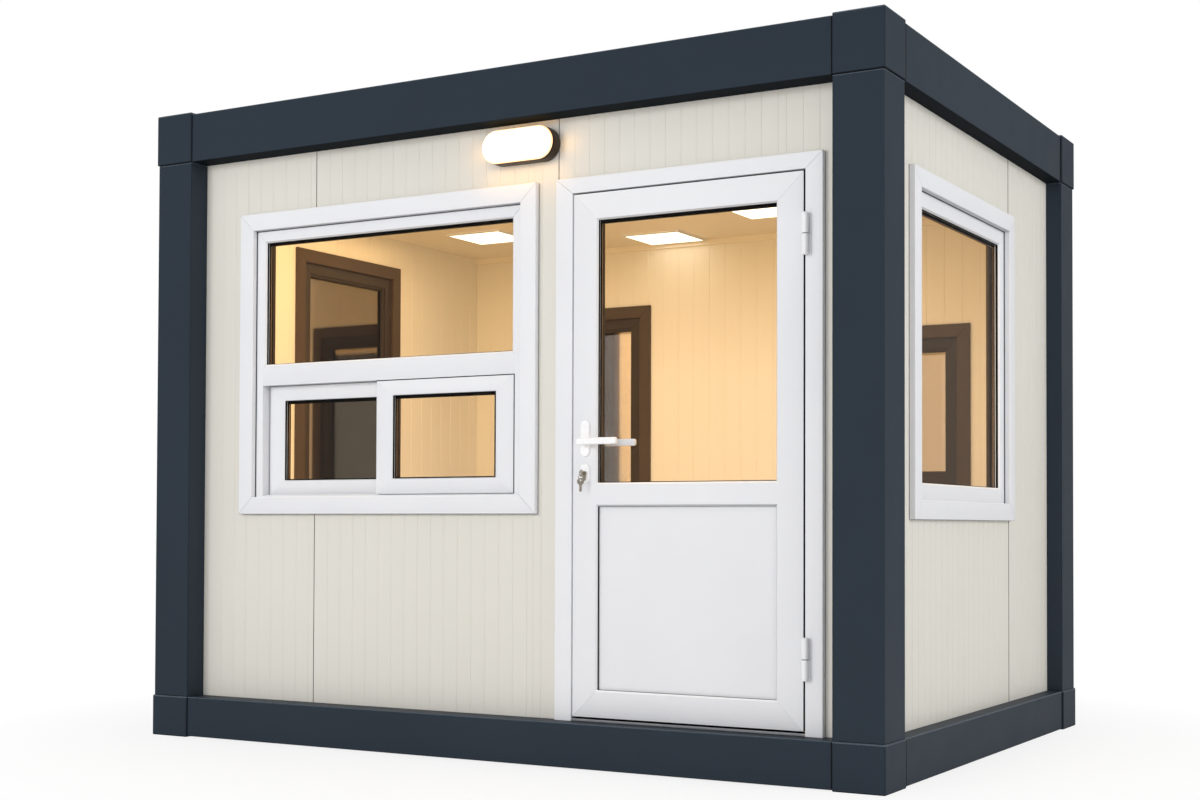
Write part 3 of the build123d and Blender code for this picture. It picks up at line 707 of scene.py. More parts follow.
def casing_section(width, proud):
    """Flat trim with a rounded outer edge and a fine inner one."""
    edge = 2 * MM
    return softened([
        (0, 0), (0, proud - edge), (edge, proud),
        (width - edge, proud), (width, proud - edge), (width, 0),
    ], sharp=(0, 5))


def boxes_on(wall, node):
    """The solids of a node that lie on one wall, as flat boxes."""
    found = []
    for box in solid_boxes(node):
        middle = (box[0] + box[1]) / 2
        nearest = min(single_walls, key=lambda other: abs(other.flat(middle).y))
        if nearest is wall:
            found.append(flat_box(wall, box))
    return found


def casing_bars(drawing, box):
    """The trim round one window."""
    section = casing_section(CASING_FACE, casing_out)
    mitred_bars(drawing, box, grown_box(box, -CASING_FACE), section)


drawing = bmesh.new()
casing_bars(drawing, front_casing)
make_piece(
    "front_casing_bars", drawing, front_wall, white_profile, stands_for=("front_window_casing",),
)
casings = {wall: boxes_on(wall, "single_window_casings") for wall in single_walls}
for wall in single_walls:
    drawing = bmesh.new()
    for box in casings[wall]:
        casing_bars(drawing, box)
    stands_for = ("single_window_casings",)
    make_piece(f"{wall.name}_casing_bars", drawing, wall, white_profile, stands_for=stands_for)

# %% [markdown]
# ## Sealant between casing and frame, as painted shadow
# Where the casing steps down to the frame lies a thin bead of grey sealant. Its grey is
# painted shadow: it draws the fine dark line that the step casts along the head and the
# sides of every window. A second bead runs round the outside of the casing, closes it
# against the panel skin and paints the casing's contact shadow there.

# %% Sealant beads, painted shadow lines
SEALANT_SHADOW_BEAD = 4 * MM
OUTER_BEAD = 1.5 * MM
BEAD_FOOT = 1 * MM


def sealant_shadow_bead(drawing, casing):
    """Beads along a casing's inner edge on three sides, and all round its outer edge."""
    # Painted shadow: the grey bead lies on the head and the two sides only.
    inner = grown_box(casing, -CASING_FACE)
    section = [(0, -BEAD_FOOT), (0, SEALANT_SHADOW_BEAD), (SEALANT_SHADOW_BEAD, -BEAD_FOOT)]
    mitred_bars(drawing, inner, grown_box(inner, -SEALANT_SHADOW_BEAD), section, "ltr", weld=0)
    outer_bead(drawing, casing, "brtl")


def outer_bead(drawing, casing, sides):
    """A bead between a casing and the panel skin."""
    # Painted contact shadow: a grey bead on the panel along the casing's edge.
    section = [(0, 0), (OUTER_BEAD, 0), (OUTER_BEAD, 2 * OUTER_BEAD)]
    mitred_bars(drawing, grown_box(casing, OUTER_BEAD), casing, section, sides, weld=0)


door_casing_box = flat_box(front_wall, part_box("door_casing"))
drawing = bmesh.new()
sealant_shadow_bead(drawing, front_casing)
outer_bead(drawing, door_casing_box, "ltr")
make_piece("front_sealant_shadow_bead", drawing, front_wall, grey_sealant_shadow)
for wall in single_walls:
    drawing = bmesh.new()
    for box in casings[wall]:
        sealant_shadow_bead(drawing, box)
    make_piece(f"{wall.name}_sealant_shadow_beads", drawing, wall, grey_sealant_shadow)

# %% [markdown]
# ## Two-coloured frames
# These profiles are white outside and laminated in dark brown towards the room. The change
# of colour lies between the two panes, where nobody sees the seam. Each single window is
# two rings of mitred bars: the white half with a bevel that runs down to the glass, and the
# brown half with a low bead on the room side.

# %% Single window frames
BEVEL = 6 * MM
ROOM_BEAD = 14 * MM
BEAD_BACK = 53 * MM


def outer_half(width, face, split, bevel=BEVEL):
    """White half of a profile, with a bevel down to the glass."""
    return softened([
        (0, split), (0, face), (width - bevel, face), (width, face - bevel), (width, split),
    ], sharp=(0, 4))


def room_half(width, split, bead, back):
    """Brown half of a profile, with a bead that holds the glass from inside."""
    return softened([
        (0, back), (0, split), (width, split), (width, -bead + BEVEL), (width - BEVEL, -bead),
        (width - ROOM_BEAD, -bead), (width - ROOM_BEAD, back),
    ], sharp=(1, 2))


def unit_in(wall, box):
    """The glass unit inside a frame."""
    for unit in single_units:
        if unit.wall is wall and box[0] < unit.light[0] < box[1]:
            return unit


for wall in single_walls:
    white, brown = bmesh.new(), bmesh.new()
    for box in boxes_on(wall, "single_window_frames"):
        unit = unit_in(wall, box)
        width = unit.light[0] - box[0]
        mitred_bars(white, box, unit.light, outer_half(width, 0, unit.middle))
        mitred_bars(brown, box, unit.light, room_half(width, unit.middle, BEAD_BACK, -thick))
    stands_for = ("single_window_frames",)
    make_piece(f"{wall.name}_frame_outside", white, wall, white_profile, stands_for=stands_for)
    make_piece(f"{wall.name}_frame_inside", brown, wall, dark_profile, stands_for=stands_for)

# %% [markdown]
# ## Trims on the room side
# In the room a flat brown trim covers the edge of each opening. It has the section of the
# white casing, narrower and turned towards the room.

# %% Trims in the room
TRIM_FACE = 60 * MM
TRIM_PROUD = 15 * MM
room_trims = {wall: boxes_on(wall, "dark_window_trims") for wall in single_walls}

for wall in single_walls:
    drawing = bmesh.new()
    for box in room_trims[wall]:
        section = [(inset, -thick - out) for inset, out in casing_section(TRIM_FACE, TRIM_PROUD)]
        mitred_bars(drawing, box, grown_box(box, -TRIM_FACE), section)
    stands_for = ("dark_window_trims",)
    make_piece(f"{wall.name}_room_trim", drawing, wall, brown_trim, stands_for=stands_for)

# %% [markdown]
# ## The front window frame
# The upper light is fixed and the lower half is open for the sashes, so this frame is built
# up: a head with two jambs, a transom, a sill with two rails to slide on, and a bead ring
# that narrows the upper light. The flat faces meet flush, without a seam.

# %% Front window frame
frame_box = flat_box(front_wall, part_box("front_window_frame"))
sill_boxes = [flat_box(front_wall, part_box(f"sliding_sash_{name}")) for name in ("outer", "inner")]
SIDE_GAP = 5 * MM
track_left, track_right = sill_boxes[1][0] - SIDE_GAP, sill_boxes[0][1] + SIDE_GAP
sash_bottom, sash_top = sill_boxes[0][2], sill_boxes[0][3]
RAIL = 4 * MM
HEAD_GAP = 2 * MM
transom_bottom = sash_top + HEAD_GAP
sill_top = sash_bottom - RAIL
bead = upper_unit.light[0] - track_left
bead_ring = grown_box(upper_unit.light, bead)
frame_back = front_wall.out(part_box("front_window_frame")[1])

drawing = bmesh.new()
width = track_left - frame_box[0]
jamb = softened([(0, -thick), (0, 0), (width, 0), (width, -thick)], sharp=(0, 2, 3))
jamb_inner = (track_left, track_right, frame_box[2], frame_box[3] - width)
mitred_bars(drawing, frame_box, jamb_inner, jamb, "ltr")
mitred_bars(drawing, bead_ring, upper_unit.light, softened([
    (0, upper_unit.middle), (0, 0), (bead - BEVEL, 0), (bead, -BEVEL), (bead, upper_unit.middle),
], sharp=(0, 1, 4)))
flat_bar(drawing, (track_left, track_right, transom_bottom, bead_ring[2]), -thick, 0, sharp=(2,))
flat_bar(drawing, (track_left, track_right, frame_box[2], sill_top), -thick, 0)
for unit in (outer_sash_unit, inner_sash_unit):
    rail = (track_left, track_right, sill_top, sash_bottom)
    flat_bar(drawing, rail, unit.middle - RAIL, unit.middle + RAIL)
stands_for = ("front_window_frame",)
make_piece("front_frame_outside", drawing, front_wall, white_profile, stands_for=stands_for)

drawing = bmesh.new()
mitred_bars(drawing, bead_ring, upper_unit.light, softened([
    (0, -BEAD_BACK), (0, upper_unit.middle), (bead, upper_unit.middle), (bead, -BEAD_BACK + BEVEL),
    (bead - BEVEL, -BEAD_BACK),
], sharp=(1, 2)))
mitred_bars(drawing, frame_box, jamb_inner, softened([
    (0, frame_back), (0, -thick), (width, -thick), (width, frame_back),
], sharp=(1, 2)), "ltr")
flat_bar(drawing, (track_left, track_right, transom_bottom, bead_ring[2]), frame_back, -thick)
flat_bar(drawing, (track_left, track_right, frame_box[2], sill_top), frame_back, -thick)
make_piece("front_frame_inside", drawing, front_wall, dark_profile, stands_for=stands_for)

# %% [markdown]
# ## Sliding sashes
# Two sashes run on their own rails, one behind the other. Each is a slim two-coloured ring
# with stiles wider than its rails.

# %% Sashes
SASH_BEVEL = 4 * MM
SASH_CHAMFER = 3 * MM
sash_faces = []
for name, unit, box in (
    ("outer", outer_sash_unit, sill_boxes[0]), ("inner", inner_sash_unit, sill_boxes[1]),
):
    low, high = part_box(f"sliding_sash_{name}")
    face, back = front_wall.out(low), front_wall.out(high)
    sash_faces.append(face)
    width = unit.light[0] - box[0]
    stands_for = (f"sliding_sash_{name}",)
    drawing = bmesh.new()
    profile = outer_half(width, face, unit.middle, SASH_BEVEL)
    mitred_bars(drawing, box, unit.light, profile, weld=FINE_WELD)
    make_piece(f"sash_{name}_outside", drawing, front_wall, white_profile, stands_for=stands_for)
    drawing = bmesh.new()
    mitred_bars(drawing, box, unit.light, softened([
        (0, back), (0, unit.middle), (width, unit.middle),
        (width, back + SASH_CHAMFER), (width - SASH_CHAMFER, back),
    ], sharp=(1, 2)))
    make_piece(f"sash_{name}_inside", drawing, front_wall, dark_profile, stands_for=stands_for)

# %% [markdown]
# ## Seals of the sashes
# A black strip closes each upright gap to the jambs and the gap where the sashes overlap.
# Two more lie in the narrow gaps under the transom. Their black also paints the shade in
# these gaps. Where the outer sash meets the frame the strips come forward to its face,
# with a thin lip on the sash's top edge, which paints a dark line there.

# %% Brush seals
BRUSH = 3 * MM
BRUSH_EDGE = 0.2 * MM
OVERLAP_INSET = 20 * MM
LIP_PROUD = 0.4 * MM
drawing = bmesh.new()
outer_middle, inner_middle = outer_sash_unit.middle, inner_sash_unit.middle
outer_front, inner_front = max(sash_faces[0], 0) - 0.5 * MM, inner_middle + BRUSH
overlap_left, overlap_middle = sill_boxes[0][0] + OVERLAP_INSET, (outer_middle + inner_middle) / 2
for left, back, front in (
    (track_left, inner_middle - BRUSH, inner_front),
    (track_right - SIDE_GAP, outer_middle - BRUSH, outer_front),
    (overlap_left, overlap_middle - BRUSH, overlap_middle + BRUSH),
):
    upright_gap = (left, left + SIDE_GAP, sash_bottom, sash_top)
    flat_bar(drawing, upright_gap, back, front, BRUSH_EDGE, upright=True)
for box, back, front in (
    ((track_left, track_right, sash_top, transom_bottom), inner_middle - BRUSH, inner_front),
    ((sill_boxes[0][0], track_right, sash_top, transom_bottom), outer_middle - BRUSH, outer_front),
    # Painted shade: a black lip on the outer sash's top edge draws the dark line under the transom.
    (
        (sill_boxes[0][0], sill_boxes[0][1], sash_top - 1.5 * MM, sash_top + 0.5 * MM),
        sash_faces[0] - 1 * MM, sash_faces[0] + LIP_PROUD,
    ),
):
    flat_bar(drawing, box, back, front, BRUSH_EDGE)
make_piece("sash_brush_seals_and_shade", drawing, front_wall, seal_rubber_and_gap_shade)

# %% [markdown]
# ## The door's casing
# The casing is a flat trim round three sides, and its feet stand on the lower beam. Between
# the casing and the leaf runs an even clearance.

# %% Door casing
leaf_low, leaf_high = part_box("door_leaf")
leaf_box = flat_box(front_wall, (leaf_low, leaf_high))
leaf_face, leaf_back = front_wall.out(leaf_low), front_wall.out(leaf_high)
DOOR_CLEARANCE = 6 * MM
doorway = grown_box(leaf_box, DOOR_CLEARANCE)
doorway_to_beam = (doorway[0], doorway[1], door_casing_box[2], doorway[3])

drawing = bmesh.new()
width = doorway[0] - door_casing_box[0]
section = casing_section(width, casing_out)
mitred_bars(drawing, door_casing_box, doorway_to_beam, section, "ltr")
make_piece("door_casing_bars", drawing, front_wall, white_profile, stands_for=("door_casing",))

# %% [markdown]
# ## The door leaf
# The leaf is a ring of four mitred bars with a rail across it. Its two openings each get a
# ring of bevelled bead, mitred at all four corners, which also rounds off the rail's ends.

# %% Door leaf
low_panel = grown_box(flat_box(front_wall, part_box("door_lower_panel")), -GLASS_LAP)
openings = (door_unit.light, low_panel)
bead_boxes = [grown_box(box, BEVEL) for box in openings]
glass_bead, panel_bead = bead_boxes
leaf_inner = (glass_bead[0], glass_bead[1], panel_bead[2], glass_bead[3])
rail_box = (glass_bead[0], glass_bead[1], panel_bead[3], glass_bead[2])
BARELY_ROUND = 0.01 * MM

for side, material, back, front in (
    ("outside", white_profile, door_unit.middle, leaf_face),
    ("inside", dark_profile, leaf_back, door_unit.middle),
):
    drawing = bmesh.new()
    width = leaf_inner[0] - leaf_box[0]
    outside = side == "outside"
    corners = [(0, back), (0, front), (width, front), (width, back)]
    ring = softened(corners, sharp=(0, 2, 3) if outside else (1, 2, 3))
    mitred_bars(drawing, leaf_box, leaf_inner, ring, weld=2 * FINE_WELD)
    flat_bar(drawing, rail_box, back, front, BARELY_ROUND)
    for box, opening in zip(bead_boxes, openings):
        if outside:
            profile = [(0, back), (0, front), (BEVEL, front - BEVEL), (BEVEL, back)]
        else:
            profile = [(0, back), (0, front), (BEVEL, front), (BEVEL, back + BEVEL)]
        mitred_bars(drawing, box, opening, profile, weld=FINE_WELD)
    make_piece(f"door_leaf_{side}", drawing, front_wall, material, "door", ("door_leaf",))

# %% [markdown]
# ## Glazing seals and spacers
# What reads as the crisp black line round each pane is its rubber seal, set into the reveal
# in front of the glass. Behind the front pane come the brown spacer bar between two lines
# of black sealant, and a second seal against the room side pane. A unit stands on its
# packers, so the spacer shows most under the head.

# %% Seals and spacers
SEAL_PROUD = 0.8 * MM
SEAL_LENGTH = 9 * MM
PANE = 4 * MM
SEALANT = 2.5 * MM
SPACER_PROUD = 5 * MM
SEALANT_PAST_BAR = 0.4 * MM
SPACER_SHOWN = (1, 0.6, 0.6, 2)


def reveal_ring(drawing, box, back, front, proud, shown=(1, 1, 1, 1), sunk=1 * MM):
    """A thin band on the four faces of an opening, standing proud by a share on each side."""
    left, right, bottom, top = box
    reach = [proud * share for share in shown]
    inner = (left + reach[0], right - reach[1], bottom + reach[2], top - reach[3])
    depth = sunk + reach[0]
    section = [(0, back), (0, front), (depth, front), (depth, back)]
    mitred_bars(drawing, grown_box(box, sunk), inner, section, weld=0)


def glazing_lines(name, units, body, stands_for, panels=()):
    """Seals, sealant and spacer bars of several units on one wall."""
    seals, spacers = bmesh.new(), bmesh.new()
    sealant_proud = SPACER_PROUD + SEALANT_PAST_BAR
    for unit in units:
        reveal_ring(seals, unit.light, unit.front, unit.front + SEAL_LENGTH, SEAL_PROUD)
        reveal_ring(seals, unit.light, unit.back - SEAL_LENGTH / 2, unit.back, SEAL_PROUD)
        near, far = unit.front - PANE, unit.back + PANE
        for back, front in ((near - SEALANT, near), (far, far + SEALANT)):
            reveal_ring(seals, unit.light, back, front, sealant_proud, SPACER_SHOWN)
        bar_back, bar_front = far + SEALANT, near - SEALANT
        reveal_ring(spacers, unit.light, bar_back, bar_front, SPACER_PROUD, SPACER_SHOWN)
    for box, front in panels:
        reveal_ring(seals, box, front, front + SEAL_LENGTH, SEAL_PROUD)
    wall = units[0].wall
    make_piece(f"{name}_seals", seals, wall, seal_rubber_and_gap_shade, body)
    make_piece(f"{name}_spacers", spacers, wall, spacer_bar, body, stands_for)


glazing_lines("front", front_units, "root", ("window_spacers",))
for wall in single_walls:
    units = [unit for unit in single_units if unit.wall is wall]
    glazing_lines(wall.name, units, "root", ("window_spacers",))
glazing_lines("door", [door_unit], "door", ("door_glass_spacer",), [(low_panel, door_unit.front)])

# %% [markdown]
# ## Panes of the single windows
# Each unit has two panes. The right window is clear, and the others have a bronze coat that
# mirrors the lit room.

# %% Panes
PANE_EDGE = 0.5 * MM
pane_glass = {
    right_wall: clear_glass,
    left_wall: bronze_pane("bronze_pane", "#B4AA9C", "#A69C8E", 0.74),
    back_wall: bronze_pane("pale_bronze_pane", "#FFF3DC", "#F6E8D0", 0.45),
}

for wall in single_walls:
    drawing = bmesh.new()
    for unit in single_units:
        if unit.wall is wall:
            for back in (unit.front - PANE, unit.back):
                pane = grown_box(unit.light, GLASS_LAP)
                flat_bar(drawing, pane, back, back + PANE, PANE_EDGE)
    make_piece(
        f"{wall.name}_panes", drawing, wall, pane_glass[wall],
        stands_for=("single_window_glass",),
    )

# %% [markdown]
# ## Seals round the door, black as painted shade
# Black rubber seals lie in the gap between the leaf and its frame, on all four sides, and
# their black also paints the shade in that gap. They stay on the frame when the door opens,
# so they ride on the root body. One more strip is on the leaf's hinge edge and swings with
# it: it paints that edge black where it lies in shade.

# %% Door seals
SEAL_EDGE = 0.1 * MM
BEHIND_FACE = 8 * MM
seal_back, seal_front = leaf_back, leaf_face - BEHIND_FACE
hinge_side = (doorway[1] - SEAL_PROUD, doorway[1], leaf_box[2], doorway[3])
lock_side = (doorway[0], doorway[0] + SEAL_PROUD, leaf_box[2], doorway[3])
head = (doorway[0], doorway[1], doorway[3] - SEAL_PROUD, doorway[3])
threshold_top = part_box("threshold")[1].z
sill = (doorway[0], doorway[1], threshold_top - SEAL_PROUD, threshold_top)
drawing = bmesh.new()
for box, front, upright in (
    (hinge_side, seal_front, True), (head, seal_front - BEHIND_FACE, False),
    (lock_side, 0, True), (sill, leaf_face - 1 * MM, False),
):
    flat_bar(drawing, box, seal_back, front, SEAL_EDGE, upright=upright)
make_piece("door_frame_seals", drawing, front_wall, seal_rubber_and_gap_shade)
print("gap under the leaf", round((leaf_box[2] - threshold_top) / MM, 1), "mm")

drawing = bmesh.new()
# Painted shade: a black strip on the leaf's hinge edge, where the white edge lies in shade.
leaf_edge = (leaf_box[1], leaf_box[1] + SEAL_PROUD, leaf_box[2] + SEAL_PROUD, leaf_box[3])
flat_bar(drawing, leaf_edge, leaf_back + BEVEL, leaf_face - 2 * MM, SEAL_EDGE, upright=True)
make_piece("door_leaf_shade_seal", drawing, front_wall, seal_rubber_and_gap_shade, "door")

# %% [markdown]
# ## Ribbed panel skins
# Sandwich panels have a skin of thin steel, rolled with fine upright ribs. Modelling every
# rib by hand would be hundreds of boxes, and a bump map would vanish in the exported model.
# Geometry Nodes suit it best: one tree lays out the strips between the rib lines from a few
# lengths, and clips them to a region beside, over or under a window. It is run once for
# each region, and the results are joined into one skin for each wall.

# %% The tree of the ribbed skin


def start_tree(name, floats, integers=()):
    """A Geometry Nodes tree, with a wire for each of its inputs."""
    tree = bpy.data.node_groups.new(name, "GeometryNodeTree")
    inputs = [(label, "Float") for label in floats] + [(label, "Int") for label in integers]
    sockets = [(label, "INPUT", kind) for label, kind in (*inputs, ("Material", "Material"))]
    for label, side, kind in (*sockets, ("Geometry", "OUTPUT", "Geometry")):
        tree.interface.new_socket(name=label, in_out=side, socket_type=f"NodeSocket{kind}")
    entry = add_node(tree, "NodeGroupInput").socket.node
    return tree, {socket.name: Wire(tree, socket) for socket in entry.outputs if socket.name}


def end_tree(tree, geometry, material):
    """Give the geometry its material and put it out."""
    done = add_node(tree, "GeometryNodeSetMaterial", None, {0: geometry, "Material": material})
    add_node(tree, "NodeGroupOutput", None, {0: done})
    return tree


def ribbed_tree():
    """Strips between upright lines, as boxes on a face."""
    tree, given = start_tree("ribbed_skin", (
        "Panel Left", "Panel Right", "First Line", "Pitch", "Lines", "Clip Left", "Clip Right",
        "Bottom", "Top", "Face", "Thickness", "Groove",
    ))
    lines, groove, face, thickness = (
        given[label] for label in ("Lines", "Groove", "Face", "Thickness")
    )
    count = add_node(tree, "FunctionNodeFloatToInt", None, {0: lines + 1})
    index = add_node(tree, "GeometryNodeInputIndex")
    line_before = given["Panel Left"] + given["First Line"] + (index - 1) * given["Pitch"]
    is_first = index.math("LESS_THAN", index, 0.5)
    is_last = index.math("GREATER_THAN", index, lines - 0.5)
    start = is_first * given["Panel Left"] + (1 - is_first) * (line_before + groove / 2)
    line_after = line_before + given["Pitch"] - groove / 2
    end = is_last * given["Panel Right"] + (1 - is_last) * line_after
    left, right = start.high(given["Clip Left"]), end.low(given["Clip Right"])
    width = right - left
    height = given["Top"] - given["Bottom"]
    middle = add_node(tree, "ShaderNodeCombineXYZ", None, {
        0: (left + right) / 2, 1: (face + thickness / 2) * -1,
        2: (given["Top"] + given["Bottom"]) / 2,
    })
    points = add_node(tree, "GeometryNodePoints", None, {"Count": count, "Position": middle})
    size = add_node(tree, "ShaderNodeCombineXYZ", None, {0: width, 1: thickness, 2: height})
    is_wide = {"data_type": "FLOAT", "operation": "GREATER_THAN"}
    keep = add_node(tree, "FunctionNodeCompare", is_wide, {0: width, 1: 2 * MM})
    strip = add_node(tree, "GeometryNodeMeshCube", None, {"Size": (1, 1, 1)})
    placed = add_node(tree, "GeometryNodeInstanceOnPoints", None, {
        "Points": points, "Selection": keep, "Instance": strip, "Scale": size,
    })
    solid = add_node(tree, "GeometryNodeRealizeInstances", None, {0: placed})
    return end_tree(tree, solid, given["Material"])


skin_tree = ribbed_tree()


def tree_mesh(tree, values):
    """The plain mesh that a tree makes from its named inputs."""
    holder = bpy.data.objects.new("holder", bpy.data.meshes.new("holder"))
    bpy.context.scene.collection.objects.link(holder)
    modifier = holder.modifiers.new("nodes", "NODES")
    modifier.node_group = tree
    for item in tree.interface.items_tree:
        if item.in_out == "INPUT" and item.name in values:
            modifier[item.identifier] = values[item.name]
    depsgraph = bpy.context.evaluated_depsgraph_get()
    mesh = bpy.data.meshes.new_from_object(holder.evaluated_get(depsgraph), depsgraph=depsgraph)
    bpy.data.objects.remove(holder)
    return mesh


# %% [markdown]
# ## Where the ribs are
# The front's rib lines are laid out as on the real booth, with those of the first panel a
# little wider apart. The other walls take the pitch of the front's other panels. On the
# room side the ribs are wider apart again.

# %% Panels and regions of each wall
PITCH = 63 * MM
FIRST_LINE = 101 * MM
FIRST_PITCH = 66 * MM
FIRST_LINES = 8
ROOM_PITCH = 85 * MM
JOINT = 1.5 * MM
COLUMN_EDGE = 183 * MM
COLUMN_GAP = 5 * MM
SIDE_COLUMN_EDGE = 198 * MM
THIRD_PANEL = 920 * MM
EDGE_LINE = 70 * MM
SKIN = 1.2 * MM
GROOVE = 5 * MM

wall_bottom, wall_top = front_panel[0].z, front_panel[1].z
first_joint, second_joint = flat_box(front_wall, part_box("front_wall_middle"))[:2]
last_joint = second_joint + THIRD_PANEL
side_joint = side_panels[1].y
column_front = cad_box[1].x - COLUMN_EDGE - COLUMN_GAP
column_side = cad_box[1].y - SIDE_COLUMN_EDGE


def even_panel(left, right, pitch, first=EDGE_LINE):
    """A panel with evenly spaced lines from its left edge."""
    lines = int((right - left - first - 0.4 * pitch) // pitch) + 1
    return left, right, first, pitch, max(lines, 0)


front_panels = (
    (-column_front, first_joint - JOINT, FIRST_LINE, FIRST_PITCH, FIRST_LINES),
    even_panel(first_joint + JOINT, second_joint - JOINT, PITCH),
    even_panel(second_joint + JOINT, last_joint - JOINT, PITCH),
    even_panel(last_joint + JOINT, column_front, PITCH, PITCH),
)
back_panels = (
    even_panel(-column_front, -second_joint - JOINT, PITCH),
    even_panel(-second_joint + JOINT, -first_joint - JOINT, PITCH),
    even_panel(-first_joint + JOINT, column_front, PITCH),
)
right_panels, left_panels = (
    (
        even_panel(-column_side, joint - JOINT, PITCH),
        even_panel(joint + JOINT, column_side, PITCH),
    ) for joint in (side_joint, -side_joint)
)


def around(area, holes):
    """Regions of an area that go round holes, which stand side by side."""
    left, right, bottom, top = area
    regions = []
    for hole in sorted(holes):
        regions.append((left, hole[0], bottom, top))
        regions.append((hole[0], hole[1], bottom, hole[2]))
        regions.append((hole[0], hole[1], hole[3], top))
        left = hole[1]
    regions.append((left, right, bottom, top))
    return [box for box in regions if box[1] - box[0] > 1 * MM and box[3] - box[2] > 1 * MM]


def ribbed_skin(name, wall, panels, regions, face, thickness):
    """One skin on one side of a wall."""
    drawing = bmesh.new()
    for left, right, first, pitch, lines in panels:
        for clip_left, clip_right, bottom, top in regions:
            if min(right, clip_right) - max(left, clip_left) > 2 * MM:
                mesh = tree_mesh(skin_tree, {
                    "Panel Left": left, "Panel Right": right, "First Line": first, "Pitch": pitch,
                    "Lines": float(lines), "Clip Left": clip_left, "Clip Right": clip_right,
                    "Bottom": bottom, "Top": top, "Face": face, "Thickness": thickness,
                    "Groove": GROOVE, "Material": wall_skin,
                })
                drawing.from_mesh(mesh)
                bpy.data.meshes.remove(mesh)
    upright = [
        edge for edge in drawing.edges
        if abs(edge.verts[0].co.z - edge.verts[1].co.z) > 10 * MM
        and abs(-edge.verts[0].co.y - face - thickness) < MERGE
    ]
    bmesh.ops.bevel(drawing, geom=upright, offset=abs(thickness) * 0.8, segments=1, affect="EDGES")
    return make_piece(name, drawing, wall, wall_skin)


# %% [markdown]
# ## Skins outside
# Each wall is covered between its two columns. The skin runs on a little way under the
# casings, which hide its edge.

# %% Outer skins
LAP = 20 * MM
SLIVER = 0.5 * MM


def hole_under(box):
    """The opening in a skin whose edge a casing or a trim hides."""
    return grown_box(box, -LAP)


casings[front_wall] = [front_casing]
holes = {wall: [hole_under(box) for box in boxes] for wall, boxes in casings.items()}
door_hole = hole_under(door_casing_box)
holes[front_wall].append((*door_hole[:2], wall_bottom, door_hole[3]))
for wall, panels, reach in (
    (front_wall, front_panels, column_front), (right_wall, right_panels, column_side),
    (left_wall, left_panels, column_side), (back_wall, back_panels, column_front),
):
    area = (-reach, reach, wall_bottom + SLIVER, wall_top - SLIVER)
    ribbed_skin(f"{wall.name}_ribbed_skin", wall, panels, around(area, holes[wall]), 0, SKIN)

# %% [markdown]
# ## Skins in the room
# The same tree makes the skins of the room, with a wider pitch and from corner to corner.

# %% Room skins
FRAME_ROOM = 2 * MM
ceiling_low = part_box("ceiling_panel")[0].z
door_frame_hole = grown_box(flat_box(front_wall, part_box("door_frame")), -FRAME_ROOM)
room_holes = {wall: [hole_under(box) for box in boxes] for wall, boxes in room_trims.items()}
room_holes[front_wall] = [
    grown_box(frame_box, -FRAME_ROOM), (*door_frame_hole[:2], wall_bottom, door_frame_hole[3]),
]
for wall in (front_wall, *single_walls):
    reach = right_wall.inner if wall in (front_wall, back_wall) else front_wall.inner
    area = (-reach + SKIN, reach - SKIN, wall_bottom + SLIVER, ceiling_low - SLIVER)
    panels = [even_panel(area[0], area[1], ROOM_PITCH)]
    regions = around(area, room_holes[wall])
    ribbed_skin(f"{wall.name}_room_skin", wall, panels, regions, -thick, -SKIN)

# %% [markdown]
# ## Panel joints
# Where two panels meet, the sealed joint shows as a dark upright line. The seals of the
# sides and the back are twice as wide and stand a little proud of the skin.

# %% Joint seals
JOINT_DEPTH = 1.5 * MM
JOINT_EDGE = 0.05 * MM
for wall, joints in (
    (front_wall, (first_joint, second_joint)), (right_wall, (side_joint,)),
    (left_wall, (-side_joint,)), (back_wall, (-second_joint, -first_joint)),
):
    drawing = bmesh.new()
    for joint in joints:
        spans = [(wall_bottom, wall_top)]
        for hole in casings[wall]:
            if hole[0] < joint < hole[1]:
                spans = [(wall_bottom, hole[2]), (hole[3], wall_top)]
        wide, front = (JOINT, 0.2 * MM) if wall is front_wall else (2 * JOINT, SKIN + 0.3 * MM)
        for bottom, top in spans:
            line = (joint - wide, joint + wide, bottom, top)
            flat_bar(drawing, line, -JOINT_DEPTH, front, JOINT_EDGE, upright=True)
    make_piece(f"{wall.name}_joint_seals", drawing, wall, seal_rubber_and_gap_shade)

# %% [markdown]
# ## The wall lamp
# The lamp is an oval bulkhead light. Both parts are lofts: the same round-ended outline,
# drawn at several depths and drawn in a little each time, gives the housing its soft
# shoulders and the opal cover its shallow dome. Each outline is a pair of millimetres: how
# far it is drawn in, and how far out from the wall it is.

# %% Lamp housing and cover
housing_low, housing_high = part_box("wall_lamp_housing")
lamp_half = (housing_high.x - housing_low.x) / 2
lamp_radius = (housing_high.z - housing_low.z) / 2
lamp_x, lamp_z = lamp_centre.x, lamp_centre.z
dome = front_wall.out(lamp_low) / MM
END_STEPS = 20
HOUSING = (
    (4, 0), (4, 3), (1.5, 4), (0, 7), (0, 50), (0.5, 53), (1.8, 55.5), (3.6, 57), (5, 57.5),
    (6, 57), (7, 55), (8, 52),
)
COVER = (
    (9, 50), (9, 58), (3, 58.2), (1, 59.5), (1, 62), (3, 66), (8, 70), (15, dome - 3),
    (24, dome - 1.2), (36, dome - 0.4), (48, dome - 0.1),
)


def stadium(drawn_in, out):
    """Round-ended outline of the lamp, drawn in by a distance, at a height over the wall."""
    radius = lamp_radius - drawn_in
    straight = lamp_half - lamp_radius
    ring = []
    for side in (1, -1):
        for step in range(END_STEPS + 1):
            turn = side * math.pi / 2 - math.pi * step / END_STEPS
            x = lamp_x + side * straight + radius * math.cos(turn)
            ring.append((x, -out, lamp_z + radius * math.sin(turn)))
    return ring


